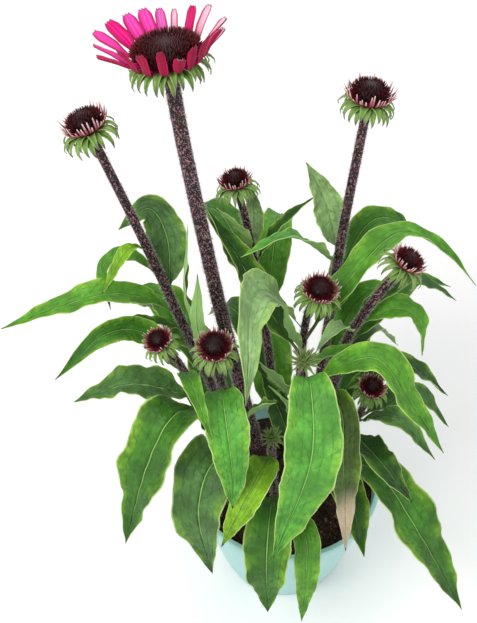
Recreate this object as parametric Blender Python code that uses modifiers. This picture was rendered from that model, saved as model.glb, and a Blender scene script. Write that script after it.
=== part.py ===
# A purple coneflower in its pot: eleven leafy stems stand in the soil, each with a flower head on top.
# The origin is the centre of the pot's base. The plant is seen from the front along +Y.
import math
import random

import bmesh
import bpy
import numpy as np
from mathutils import Vector

MM = 0.001
WELD = 0.00001  # distance for merging doubled points, m
GAP = 0.3  # clearance between neighbouring pieces, mm

# Pot and soil, mm. The profile is (radius, height) up the outer side.
POT_HEIGHT = 100
POT_WALL = 1.8
POT_FLOOR = 3
FLOOR_RADIUS = 42  # inside
POT_SIDE = [(39, 0), (43, 3), (49, 20), (67, 90), (68.2, 95.4)]
POT_LIP = [(70, 96.4), (70, 99), (69.3, POT_HEIGHT), (67.2, POT_HEIGHT), (66.4, 98.6)]
SOIL_EDGE_HEIGHT = 88
SOIL_CROWN_HEIGHT = 93
STEM_FOOT_HEIGHT = 76
TURNED_STEPS = 26
FACET_ALLOWANCE = 0.02  # the turned sides are flats, mm
HOLE_SIDES = 8
HOLE_DEPTH = 40  # from below the stem's foot to above the soil, mm

# Leaf blade
BLADE_THICKNESS = 0.7
FEWEST_ROWS = 6
MOST_ROWS = 10
ROW_SPACING = 24  # one row more for each such length, mm
STALK_WIDTH = 3.0
TIP_WIDTH = 1.0
STALK_SHARE = 0.1  # share of the length that is stalk
LEAF_FOLD = math.radians(17)
ROLL_SHARE = 0.3  # share of the length over which a leaf turns to its roll
WAVES = 3.3
WAVE_HEIGHT = 0.07  # share of the leaf's width
STEM_ROWS = 6

GREEN = (0.07, 0.25, 0.03)
PALE_GREEN = (0.24, 0.36, 0.14)
MAROON = (0.05, 0.006, 0.012)
MAGENTA = (0.75, 0.02, 0.28)
CRIMSON = (0.3, 0.02, 0.07)
MINT = (0.55, 0.78, 0.76)
EARTH = (0.03, 0.02, 0.015)

# Each stem: the points of its route above the foot, its radius at the foot and at the head, and its
# leaves. A leaf is the height of its root on the stem, the points of its midrib, its width and its roll
# in degrees. All lengths are mm.
STEMS = {
    "open_bloom": {
        "foot": (-16, 4),
        "route": [(-33, 4, 200), (-47, 4, 283), (-64, 8, 398), (-71, 15, 450)],
        "radius": (4.6, 4.1),
        "leaves": [
            (222, [(-66, -6, 285), (-64, 0, 352)], 15, 20),
            (208, [(-58, -22, 275), (-58, -27, 338)], 15, -15),
        ],
    },
    "left_bud": {
        "foot": (-27, 16),
        "route": [(-52, 18, 180), (-78, 22, 266), (-101, 34, 330), (-121, 44, 382)],
        "radius": (3.3, 2.8),
        "leaves": [
            (252, [(-100, 16, 275), (-130, 10, 279), (-186, 0, 261)], 21, 0),
            (284, [(-104, 32, 296), (-120, 26, 290), (-116, 10, 268)], 11, 0),
            (304, [(-103, 18, 313), (-119, 2, 291)], 9, 0),
            (268, [(-80, 46, 296), (-92, 60, 310), (-112, 54, 297)], 26, 0),
            (238, [(-97, 2, 266), (-121, -6, 262)], 11, 0),
            (184, [(-84, 52, 222), (-112, 84, 196)], 22, 0),
            (122, [(-54, 44, 156), (-68, 72, 178), (-84, 98, 166)], 30, 0),
            (210, [(-84, 42, 244), (-106, 62, 236)], 26, 0),
        ],
    },
    "right_bud": {
        "foot": (18, 24),
        "route": [(24, 28, 200), (30, 32, 307), (37, 42, 373), (40, 45, 402)],
        "radius": (3.3, 2.8),
        "leaves": [
            (296, [(20, 44, 328), (7, 51, 356)], 21, 10),
            (288, [(-2, 8, 334), (-33, -8, 333)], 18, -12),
            (268, [(46, 58, 292), (64, 68, 295), (88, 76, 270)], 19, 0),
            (230, [(44, 74, 258), (66, 112, 234)], 22, 0),
            (160, [(56, 60, 196), (86, 84, 150)], 22, 0),
            (124, [(44, 52, 158), (56, 80, 172), (68, 98, 156)], 30, 0),
            (196, [(48, 50, 234), (74, 70, 234)], 26, 0),
        ],
    },
    "back_head": {
        "foot": (-3, 32),
        "route": [(-14, 42, 200), (-27, 54, 290), (-35, 60, 326)],
        "radius": (2.8, 2.4),
        "leaves": [
            (280, [(-34, 38, 312), (-49, 30, 339)], 10, 0),
            (278, [(-24, 70, 296), (-27, 78, 316)], 13, 0),
            (222, [(-38, 50, 276), (-54, 46, 316)], 22, 0),
            (268, [(-6, 52, 304), (16, 60, 322)], 12, 0),
            (240, [(-44, 84, 280), (-70, 118, 262)], 24, 0),
            (215, [(-8, 96, 262), (-2, 140, 232)], 24, 0),
            (150, [(-36, 76, 196), (-58, 106, 160)], 22, 0),
            (112, [(-12, 66, 160), (-14, 98, 170), (-12, 124, 146)], 32, 0),
        ],
    },
    "right_head": {
        "foot": (33, 3),
        "route": [(30, 4, 150), (33, 2, 235), (50, 4, 282), (66, 8, 307)],
        "radius": (2.9, 2.5),
        "leaves": [
            (272, [(70, 18, 287), (88, 22, 279), (108, 26, 260)], 13, 0),
            (262, [(66, 4, 276), (80, 0, 268), (84, -8, 244)], 18, 0),
            (240, [(76, 40, 262), (112, 62, 236)], 22, 0),
            (255, [(26, -16, 280), (13, -30, 273)], 12, 0),
            (176, [(74, 10, 214), (112, 14, 176)], 22, 0),
            (168, [(22, -18, 214), (24, -34, 242)], 20, 0),
        ],
    },
    "middle_head": {
        "foot": (7, 7),
        "route": [(6, 2, 180), (8, -3, 270), (14, -6, 297)],
        "radius": (2.7, 2.4),
        "leaves": [
            (262, [(-18, -14, 310), (-28, -42, 324), (-29, -68, 312), (-30, -86, 290)], 27, 0),
            (240, [(-4, -24, 290), (-7, -30, 318)], 9, 0),
            (250, [(34, 14, 290), (68, 44, 304), (98, 40, 292), (120, 30, 270)], 21, 0),
            (222, [(32, -10, 252), (50, -16, 254)], 11, 0),
            (236, [(-14, 12, 264), (-35, 26, 300), (-54, 40, 328)], 24, 0),
            (186, [(-8, -18, 226), (-22, -28, 262)], 22, 0),
            (118, [(-4, 18, 150), (-18, 34, 176)], 24, 0),
        ],
    },
    "left_head": {
        "foot": (-33, -8),
        "route": [(-52, -16, 180), (-69, -23, 248), (-81, -28, 277)],
        "radius": (2.6, 2.2),
        "leaves": [
            (232, [(-92, -6, 262), (-118, -18, 275), (-148, -38, 256)], 17, 0),
            (214, [(-102, -20, 230), (-142, -22, 214)], 28, 0),
            (206, [(-76, -52, 236), (-93, -68, 204), (-110, -79, 134)], 38, 0),
            (246, [(-62, -62, 280), (-50, -88, 260)], 13, 0),
            (130, [(-56, -6, 172), (-70, -2, 196)], 22, 0),
        ],
    },
    "front_head": {
        "foot": (-15, -18),
        "route": [(-34, -30, 180), (-47, -36, 262), (-48, -41, 285)],
        "radius": (2.8, 2.4),
        "leaves": [
            (246, [(-43, -66, 264), (-38, -92, 234), (-38, -98, 204)], 26, 0),
            (150, [(-50, -60, 200), (-60, -84, 178), (-52, -90, 114)], 38, 0),
            (196, [(-26, -48, 236), (-10, -60, 262)], 26, 0),
            (128, [(-36, -62, 168), (-40, -86, 186)], 24, 0),
        ],
    },
    "centre_tuft": {
        "foot": (4, -21),
        "route": [(5, -32, 180), (5, -42, 255), (5, -45, 279)],
        "radius": (2.7, 2.3),
        "leaves": [
            (262, [(8, -66, 284), (8, -98, 250), (-13, -118, 178)], 34, 0),
            (252, [(46, -44, 284), (71, -58, 255), (95, -64, 215)], 23, 0),
            (220, [(26, -62, 262), (32, -78, 205), (38, -80, 126)], 20, 0),
            (196, [(-4, -42, 236), (-16, -46, 260)], 16, 0),
        ],
    },
    "lower_head": {
        "foot": (25, -19),
        "route": [(36, -22, 160), (47, -24, 210), (50, -26, 229)],
        "radius": (2.5, 2.2),
        "leaves": [
            (200, [(80, -14, 214), (106, -24, 190)], 17, 0),
            (196, [(66, -44, 224), (92, -58, 200)], 16, 0),
            (186, [(56, -66, 208), (78, -76, 178)], 20, 0),
            (148, [(56, -56, 184), (86, -82, 148), (122, -94, 72)], 34, 0),
            (126, [(40, -58, 158), (50, -86, 128)], 24, 0),
        ],
    },
    "lower_tuft": {
        "foot": (-7, -37),
        "route": [(-11, -46, 160), (-13, -54, 205), (-13, -56, 219)],
        "radius": (2.3, 2.0),
        "leaves": [
            (202, [(-24, -90, 220), (-45, -104, 170)], 22, 0),
            (140, [(-14, -80, 168), (-16, -98, 140), (-14, -99, 78)], 31, 0),
            (128, [(9, -78, 146), (11, -94, 124), (10, -98, 63)], 18, 0),
            (112, [(2, -58, 146), (14, -70, 170)], 20, 0),
        ],
    },
}

# The heads on the stems: the kind, the radius of the cone and the reach of the bracts, mm.
HEADS = {
    "open_bloom": ("bloom", 19, 24),
    "left_bud": ("bud", 11.5, 18.5),
    "right_bud": ("bud", 11.5, 17.5),
    "back_head": ("bud", 8.5, 15),
    "right_head": ("bud", 9, 16.5),
    "middle_head": ("bud", 9, 16),
    "left_head": ("bud", 7, 13),
    "front_head": ("bud", 9, 16),
    "centre_tuft": ("tuft", 4, 12),
    "lower_head": ("bud", 7, 13),
    "lower_tuft": ("tuft", 3.2, 9),
}
RAYS = {"bloom": 20, "bud": 10}
BRACTS_IN_ROW = {"bloom": 10, "bud": 5}
CONE_HEIGHT = {"bloom": 0.62, "bud": 1.1}  # share of its radius
FLORETS_PER_MM = {"bloom": 10, "bud": 6.4}  # for each mm of the cone's radius
FLORET_LENGTH = {"bloom": 1.7, "bud": 1.4}
CORE_STEPS = 10
TUFT_ROWS = ((4, 1.15), (4, 0.65), (4, 0.15))  # bracts in a row and their rise, radians
PETAL_ROWS = 5
# Each petal: its angle in degrees round the head, the reach of its tip, its rise and its width, mm.
PETALS = [
    (5, 33, 12, 4.5),
    (21, 36, 13, 4.5),
    (42, 34, 17, 5.5),
    (60, 31, 16, 5.5),
    (81, 30, 14, 4),
    (97, 31, 15, 6),
    (113, 33, 16, 8),
    (130, 34, 16, 8.5),
    (148, 37, 16, 9),
    (167, 39, 16, 9),
    (186, 37, 15, 7.5),
    (202, 37, 13, 7.5),
    (222, 29, 18, 7),
    (244, 25, 16, 6),
    (270, 23.5, 17, 5),
    (292, 27, 12, 6.5),
    (312, 27, 16, 6),
    (331, 29, 18, 6.5),
    (349, 33, 17, 5.5),
]
BRACT_TIP = 0.7  # width, mm
STUB_TIP = 1.2
COLLAR_THICKNESS = 1.2
GOLDEN_ANGLE = math.pi * (3 - math.sqrt(5))


def clear_scene():
    for obj in list(bpy.data.objects):
        bpy.data.objects.remove(obj)


def collection(name, helper=False):
    made = bpy.data.collections.new(name)
    bpy.context.scene.collection.children.link(made)
    made.hide_render = helper
    return made


def material(name, colour, roughness):
    made = bpy.data.materials.new(name)
    made.use_nodes = True
    shader = made.node_tree.nodes["Principled BSDF"]
    shader.inputs["Base Color"].default_value = (*colour, 1)
    shader.inputs["Roughness"].default_value = roughness
    return made


def object_of(bm, name, group):
    mesh = bpy.data.meshes.new(name)
    bm.to_mesh(mesh)
    bm.free()
    made = bpy.data.objects.new(name, mesh)
    group.objects.link(made)
    return made


def evaluated_mesh(obj):
    bpy.context.view_layer.update()
    graph = bpy.context.evaluated_depsgraph_get()
    return bpy.data.meshes.new_from_object(obj.evaluated_get(graph))


def smooth_route(points, count):
    """Evenly spaced points on a Catmull-Rom curve through the given ones."""
    knots = np.array(points, float)
    knots = np.vstack([2 * knots[0] - knots[1], knots, 2 * knots[-1] - knots[-2]])
    fine = []
    for a, b, c, d in zip(knots, knots[1:], knots[2:], knots[3:]):
        t = np.linspace(0, 1, 12, endpoint=False)[:, None]
        curve = 2 * b + (c - a) * t + (2 * a - 5 * b + 4 * c - d) * t**2 + (3 * b - a - 3 * c + d) * t**3
        fine.append(curve / 2)
    fine = np.vstack([*fine, knots[-2:-1]])
    length = np.concatenate([[0], np.cumsum(np.linalg.norm(np.diff(fine, axis=0), axis=1))])
    at = np.linspace(0, length[-1], count)
    return np.column_stack([np.interp(at, length, fine[:, axis]) for axis in range(3)])


def frames(route):
    """The side and the upper face's normal at each point of a midrib."""
    along = np.gradient(route, axis=0)
    along /= np.linalg.norm(along, axis=1)[:, None]
    normal = np.array([0, 0, 1.0])
    sides = []
    normals = []
    for direction in along:
        normal = normal - direction * (normal @ direction)
        normal /= np.linalg.norm(normal)
        normals.append(normal)
        sides.append(np.cross(direction, normal))
    return np.array(sides), np.array(normals)


def leaf_outline(t):
    """Half the width of a lance-shaped blade, as a share of its full width, for t from root to tip."""
    s = np.clip((t - STALK_SHARE) / (1 - STALK_SHARE), 0, 1)
    return 0.5 * np.sin(math.pi * s**0.7)


def sheet(name, group, points, half_widths, lifts):
    """A thin blade whose rows of points are spread over the given half widths and lifted off the midrib."""
    route, side, normal = points
    rows, columns = lifts.shape
    bm = bmesh.new()
    bmesh.ops.create_grid(bm, x_segments=columns - 1, y_segments=rows - 1, size=1)
    bm.verts.ensure_lookup_table()
    for index, vert in enumerate(bm.verts):
        row, column = divmod(index, columns)
        across = 2 * column / (columns - 1) - 1
        offset = side[row] * across * half_widths[row] + normal[row] * lifts[row, column]
        vert.co = Vector(route[row] + offset) * MM
    bmesh.ops.triangulate(bm, faces=bm.faces)
    made = object_of(bm, name, group)
    shell = made.modifiers.new("thickness", "SOLIDIFY")
    shell.thickness = BLADE_THICKNESS * MM
    shell.offset = 0
    solid = evaluated_mesh(made)
    made.modifiers.clear()
    made.data = solid
    return made


def turned(frame, roll):
    """Rolls the sides and the normals of a midrib about it by the given angles."""
    side, normal = frame
    cosine, sine = np.cos(roll)[:, None], np.sin(roll)[:, None]
    return side * cosine + normal * sine, normal * cosine - side * sine


def leaf(name, group, points, width, roll, draw):
    length = np.linalg.norm(np.diff(np.array(points, float), axis=0), axis=1).sum()
    rows = int(np.clip(FEWEST_ROWS - 2 + length / ROW_SPACING, FEWEST_ROWS, MOST_ROWS))
    route = smooth_route(points, rows)
    t = np.linspace(0, 1, rows)
    side, normal = turned(frames(route), math.radians(roll) * np.clip(t / ROLL_SHARE, 0, 1))
    half = width * leaf_outline(t)
    narrowest = np.where(t < 0.5, STALK_WIDTH / 2, TIP_WIDTH / 2)
    lifts = np.zeros((rows, 3))
    for column in (0, 2):
        phase = draw.uniform(0, 2 * math.pi)
        wave = WAVE_HEIGHT * 2 * half * np.sin(2 * math.pi * WAVES * t + phase)
        lifts[:, column] = half * math.tan(LEAF_FOLD) + wave
    return sheet(name, group, (route, side, normal), np.maximum(half, narrowest), lifts)


def stem_points(plan):
    x, y = plan["foot"]
    return [(x, y, STEM_FOOT_HEIGHT), (x, y, SOIL_CROWN_HEIGHT + 6), *plan["route"]]


def tube(name, group, points, radii, detail):
    """A round stem as a bevelled curve, made a mesh with its caps welded on."""
    data = bpy.data.curves.new(name, "CURVE")
    data.dimensions = "3D"
    data.bevel_depth = MM
    data.bevel_resolution = detail
    data.use_fill_caps = True
    line = data.splines.new("POLY")
    line.points.add(len(points) - 1)
    for place, target, radius in zip(points, line.points, radii):
        target.co = (*(np.array(place) * MM), 1)
        target.radius = radius
    guide = bpy.data.objects.new(name, data)
    group.objects.link(guide)
    mesh = evaluated_mesh(guide)
    bpy.data.objects.remove(guide)
    bm = bmesh.new()
    bm.from_mesh(mesh)
    bmesh.ops.remove_doubles(bm, verts=bm.verts, dist=WELD)
    bmesh.ops.recalc_face_normals(bm, faces=bm.faces)
    return object_of(bm, name, group)


def fuse(name, parts_group, pieces_group, body):
    """Joins a body with all the pieces of a group in one solid, and removes the pieces."""
    union = body.modifiers.new("union", "BOOLEAN")
    union.operation = "UNION"
    union.operand_type = "COLLECTION"
    union.collection = pieces_group
    union.solver = "EXACT"
    mesh = evaluated_mesh(body)
    made = bpy.data.objects.new(name, mesh)
    parts_group.objects.link(made)
    for piece in [*pieces_group.objects, body]:
        bpy.data.objects.remove(piece)
    bpy.data.collections.remove(pieces_group)
    return made


def finish(obj, surface, angle=40):
    obj.data.materials.clear()
    obj.data.materials.append(surface)
    obj.data.shade_smooth()
    obj.data.set_sharp_from_angle(angle=math.radians(angle))


def stem_body(name, group, plan):
    points = stem_points(plan)
    route = smooth_route(points[1:], STEM_ROWS)
    route = np.vstack([points[0], route])
    radii = np.interp(route[:, 2], (STEM_FOOT_HEIGHT, route[-1, 2]), plan["radius"])
    detail = 2 if plan["radius"][0] > 4 else 1  # the thick stem is rounder
    return tube(name, group, route, radii, detail), route


def leafy_stem(name, parts, surface):
    plan = STEMS[name]
    draw = random.Random(name)
    pieces = collection(name + "_leaves", helper=True)
    body, route = stem_body(name + "_stem", bpy.context.scene.collection, plan)
    for index, (height, midrib, width, roll) in enumerate(plan["leaves"]):
        root = [np.interp(height, route[:, 2], route[:, axis]) for axis in range(3)]
        leaf(f"{name}_leaf_{index}", pieces, [root, *midrib], width, roll, draw)
    made = fuse("leafy_stem_" + name, parts, pieces, body)
    finish(made, surface)
    end = route[-1] - route[-2]
    return Vector(route[-1]) * MM, Vector(end / np.linalg.norm(end))


def stand_on(obj, place, axis):
    """Bakes the turn from +Z to the stem's axis and the move to its end into the mesh."""
    turn = Vector((0, 0, 1)).rotation_difference(axis).to_matrix().to_4x4()
    turn.translation = place
    obj.data.transform(turn)


def turned_solid(name, group, profile, steps):
    """A profile of (radius, height) turned about Z. It starts and ends on the axis."""
    bm = bmesh.new()
    verts = [bm.verts.new((radius * MM, 0, height * MM)) for radius, height in profile]
    for first, second in zip(verts, verts[1:]):
        bm.edges.new((first, second))
    made = object_of(bm, name, group)
    screw = made.modifiers.new("turn", "SCREW")
    screw.steps = steps
    screw.render_steps = steps
    screw.use_merge_vertices = True
    screw.merge_threshold = WELD
    screw.use_smooth_shade = True
    return made


def solid_copy(obj):
    mesh = evaluated_mesh(obj)
    obj.modifiers.clear()
    obj.data = mesh
    return obj


def floret_cone(name, group, kind, radius, base):
    """A bun-shaped head covered with florets. Points on a spiral are wrapped in a hull, and each of its
    triangles is raised to a floret's tip."""
    bm = bmesh.new()
    spike = FLORET_LENGTH[kind]
    radius -= 0.7 * spike
    height = CONE_HEIGHT[kind] * radius
    points = int(FLORETS_PER_MM[kind] * radius / 2)
    for index in range(points):
        share = (index + 0.5) / points
        rise = height * (1 - share) ** 0.9 + 0.34 * height * share
        reach = radius * math.sin(math.pi / 2 * min(1, 1.12 * share**0.55))
        angle = index * GOLDEN_ANGLE
        bm.verts.new((reach * math.cos(angle) * MM, reach * math.sin(angle) * MM, (base + rise) * MM))
    foot = 0.72 * radius
    sides = 12
    for index in range(sides):
        angle = 2 * math.pi * index / sides
        bm.verts.new((foot * math.cos(angle) * MM, foot * math.sin(angle) * MM, base * MM))
    bmesh.ops.convex_hull(bm, input=bm.verts)
    bmesh.ops.delete(bm, geom=[vert for vert in bm.verts if not vert.link_faces], context="VERTS")
    bmesh.ops.recalc_face_normals(bm, faces=bm.faces)
    open_faces = [face for face in bm.faces if face.calc_center_median().z > (base + 0.2 * height) * MM]
    raised = bmesh.ops.poke(bm, faces=open_faces, offset=spike * MM)
    top = (base + height) * MM
    for vert in bm.verts:
        distance = math.hypot(vert.co.x, vert.co.y) / (0.3 * radius * MM)
        if vert.co.z > top - 0.5 * height * MM:
            vert.co.z -= 0.16 * height * MM * math.exp(-(distance**2))
    for vert in raised["verts"]:
        vert.co.z += 0.3 * spike * MM
    return object_of(bm, name, group)


def ring_of_blades(name, group, count, path, widths, start, draw):
    """Blades round the Z axis, one to each side of what carries them. The path is (distance, height)
    from root to tip."""
    for index in range(count):
        angle = 2 * math.pi * (start + index) / count
        stretch = draw.uniform(0.9, 1.08)
        out = np.array([math.cos(angle), math.sin(angle), 0])
        first = path[0][0]
        points = [out * (first + (reach - first) * stretch) + (0, 0, height) for reach, height in path]
        route = np.array(points, float)
        side, normal = frames(route)
        sheet(f"{name}_{index}", group, (route, side, normal), np.array(widths) / 2, np.zeros((len(path), 2)))


def bract_cup(head, kind, reach, cone_radius, stem_radius, place, axis, parts, surface):
    """A shallow cup on the stem's end, with two rows of bracts that arch out and hang down."""
    draw = random.Random(head + "bracts")
    pieces = collection(head + "_bracts", helper=True)
    count = BRACTS_IN_ROW[kind]
    top = GAP + 0.2 * cone_radius + COLLAR_THICKNESS
    rim = 0.72 * cone_radius
    profile = [(0, top), (rim, top), (stem_radius + 0.6, GAP), (0, GAP)]
    cup = solid_copy(turned_solid(head + "_cup", bpy.context.scene.collection, profile, 2 * count))
    width = 2 * math.pi * rim / (2 * count)
    for row in (0, 1):
        length = (reach - rim) * (1 - 0.2 * row)
        drop = length * (0.55 + 0.5 * row)
        root = top - 0.9 - 0.5 * row
        arch = (rim + 0.5 * length, root + 0.12 * length * (1 - row))
        path = [(0.5 * rim, root), arch, (rim + length, root - drop)]
        widths = [0.62 * width, 1.15 * width, BRACT_TIP]
        if kind == "bud" and row == 1:
            del path[1]
            del widths[1]
            widths[0] = width
        ring_of_blades(f"{head}_bract_{row}", pieces, count, path, widths, 0.25 + 0.5 * row, draw)
    made = fuse(head + "_bracts", parts, pieces, cup)
    stand_on(made, place, axis)
    finish(made, surface, 20)
    return top + GAP


def ray_ring(head, kind, radius, base, place, axis, parts, surface):
    """A thin collar with the ray florets: strap petals on the open bloom, short stubs on a bud."""
    draw = random.Random(head + "rays")
    pieces = collection(head + "_rays", helper=True)
    collar_radius = 0.75 * radius
    top = base + COLLAR_THICKNESS
    middle = base + COLLAR_THICKNESS / 2
    count = RAYS[kind]
    profile = [(0, top), (collar_radius, top), (collar_radius, base), (0, base)]
    collar = solid_copy(turned_solid(head + "_collar", bpy.context.scene.collection, profile, count))
    width = 2 * math.pi * collar_radius / count
    if kind == "bloom":
        for index, plan in enumerate(PETALS):
            petal(f"{head}_petal_{index}", pieces, plan, collar_radius, middle, 0.4 * width)
    else:
        path = [(0.6 * radius, middle - 0.2), (1.36 * radius + 0.7, middle + 0.62 * radius)]
        ring_of_blades(head + "_ray", pieces, count, path, (0.62 * width, STUB_TIP), 0.5, draw)
    made = fuse(head + ("_petals" if kind == "bloom" else "_rays"), parts, pieces, collar)
    stand_on(made, place, axis)
    finish(made, surface, 20)
    return top + GAP


def petal(name, group, plan, root, height, narrow):
    """A strap petal with a blunt tip, cupped upwards clear of the cone."""
    degrees, reach, rise, width = plan
    angle = math.radians(degrees)
    out = np.array([math.cos(angle), math.sin(angle), 0])
    bend = root + 6
    shape = [(root - 3, 0), (bend, 1.2), (bend + 0.45 * (reach - bend), 0.5 * rise), (reach, rise)]
    route = smooth_route([out * distance + (0, 0, height + lift) for distance, lift in shape], PETAL_ROWS)
    side, normal = frames(route)
    shares = (0, 0.3, 0.6, 0.85, 1)
    half_widths = (narrow, narrow, width / 2, width / 2, 0.35 * width)
    half = np.interp(np.linspace(0, 1, PETAL_ROWS), shares, half_widths)
    sheet(name, group, (route, side, normal), half, np.zeros((PETAL_ROWS, 2)))


def tuft(head, core_radius, reach, place, axis, parts, surface):
    """A tight young head: a small core with rows of narrow bracts that stand up and out."""
    draw = random.Random(head + "tuft")
    pieces = collection(head + "_bracts", helper=True)
    top = GAP + core_radius
    bulge = [(0.7 * core_radius, 0.8 * top), (core_radius, 0.4 * top), (0.6 * core_radius, GAP)]
    profile = [(0, top), *bulge, (0, GAP)]
    core = solid_copy(turned_solid(head + "_core", bpy.context.scene.collection, profile, CORE_STEPS))
    for row, (count, lean) in enumerate(TUFT_ROWS):
        height = top * (0.7 - 0.17 * row)
        start = 0.3 * core_radius
        out = start + (reach - start) * math.cos(lean)
        rise = height + (reach - start) * math.sin(lean)
        middle = (start + 0.55 * (out - start), height + 0.65 * (rise - height))
        path = [(start, height), middle, (out, rise)]
        ring_of_blades(f"{head}_bract_{row}", pieces, count, path, (1.6, 1.8, BRACT_TIP), 0.4 * row, draw)
    made = fuse(head + "_bracts", parts, pieces, core)
    stand_on(made, place, axis)
    finish(made, surface, 20)


def inner_side(inset):
    """The pot's inner wall, moved in from the outer one."""
    return [(radius - inset, height) for radius, height in POT_SIDE[2:]]


def pot(parts, surface):
    inner = [(0, POT_FLOOR), (FLOOR_RADIUS, POT_FLOOR), *inner_side(POT_WALL)]
    outer = [*reversed(POT_LIP), *reversed(POT_SIDE), (0, 0)]
    finish(solid_copy(turned_solid("pot", parts, inner + outer, TURNED_STEPS)), surface)


def soil(parts, surface):
    """The soil fills the pot, with a plain blind hole for each stem."""
    floor = POT_FLOOR + GAP
    inset = POT_WALL + GAP + FACET_ALLOWANCE
    side = [point for point in inner_side(inset) if point[1] < SOIL_EDGE_HEIGHT]
    low, high = POT_SIDE[2], POT_SIDE[3]
    share = (SOIL_EDGE_HEIGHT - low[1]) / (high[1] - low[1])
    edge = low[0] + share * (high[0] - low[0]) - inset
    crown = SOIL_CROWN_HEIGHT
    top = [(0, crown), (48, crown - 2), (edge, SOIL_EDGE_HEIGHT)]
    profile = [*top, *reversed(side), (FLOOR_RADIUS - GAP, floor), (0, floor)]
    made = solid_copy(turned_solid("soil", parts, profile, TURNED_STEPS))
    cutters = collection("cutters", helper=True)
    for name, plan in STEMS.items():
        bm = bmesh.new()
        radius = (plan["radius"][0] + GAP) * MM / math.cos(math.pi / HOLE_SIDES)
        size = {"radius1": radius, "radius2": radius, "depth": HOLE_DEPTH * MM}
        bmesh.ops.create_cone(bm, cap_ends=True, segments=HOLE_SIDES, **size)
        hole = object_of(bm, name + "_hole", cutters)
        hole.location = Vector((*plan["foot"], STEM_FOOT_HEIGHT - GAP + HOLE_DEPTH / 2)) * MM
        hole.display_type = "WIRE"
        hole.hide_render = True
    cut = made.modifiers.new("holes", "BOOLEAN")
    cut.operation = "DIFFERENCE"
    cut.operand_type = "COLLECTION"
    cut.collection = cutters
    finish(made, surface)


def main():
    clear_scene()
    parts = collection("purple_coneflower")
    leafy = material("leaf", GREEN, 0.5)
    bracts = material("bract", PALE_GREEN, 0.55)
    cones = material("cone", MAROON, 0.6)
    petals = material("petal", MAGENTA, 0.45)
    stubs = material("ray_stub", CRIMSON, 0.5)
    pot(parts, material("pot", MINT, 0.4))
    soil(parts, material("soil", EARTH, 0.95))
    for name in STEMS:
        place, axis = leafy_stem(name, parts, leafy)
        kind, radius, reach = HEADS[name]
        if kind == "tuft":
            tuft(name, radius, reach, place, axis, parts, bracts)
            continue
        seat = (place, axis, parts)
        base = bract_cup(name, kind, reach, radius, STEMS[name]["radius"][1], *seat, bracts)
        base = ray_ring(name, kind, radius, base, *seat, petals if kind == "bloom" else stubs)
        cone = floret_cone(name + "_cone", parts, kind, radius, base)
        stand_on(cone, place, axis)
        finish(cone, cones, 20)


if __name__ == "__main__":
    main()
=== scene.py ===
import math
import random

import bpy
import numpy as np
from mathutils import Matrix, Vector, noise


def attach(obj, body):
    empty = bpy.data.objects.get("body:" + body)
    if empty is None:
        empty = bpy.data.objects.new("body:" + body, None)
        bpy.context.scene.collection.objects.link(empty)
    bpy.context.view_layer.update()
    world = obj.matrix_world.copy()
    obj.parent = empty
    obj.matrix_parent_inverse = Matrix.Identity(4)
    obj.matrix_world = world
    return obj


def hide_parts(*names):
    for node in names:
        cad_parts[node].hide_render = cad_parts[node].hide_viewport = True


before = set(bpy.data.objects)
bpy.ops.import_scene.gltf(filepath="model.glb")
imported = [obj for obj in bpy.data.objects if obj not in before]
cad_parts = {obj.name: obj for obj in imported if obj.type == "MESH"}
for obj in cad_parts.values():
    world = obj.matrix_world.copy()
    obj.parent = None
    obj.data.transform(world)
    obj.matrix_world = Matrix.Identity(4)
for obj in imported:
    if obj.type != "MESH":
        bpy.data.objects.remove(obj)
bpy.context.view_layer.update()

mm = 0.001
goldenAngle = math.pi * (3 - math.sqrt(5))


def shade(code):
    # a hex colour as Blender's linear one
    parts = [int(code[place:place + 2], 16) / 255 for place in (0, 2, 4)]
    linear = [part / 12.92 if part < 0.04045 else ((part + 0.055) / 1.055) ** 2.4 for part in parts]
    return (*linear, 1)


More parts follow.
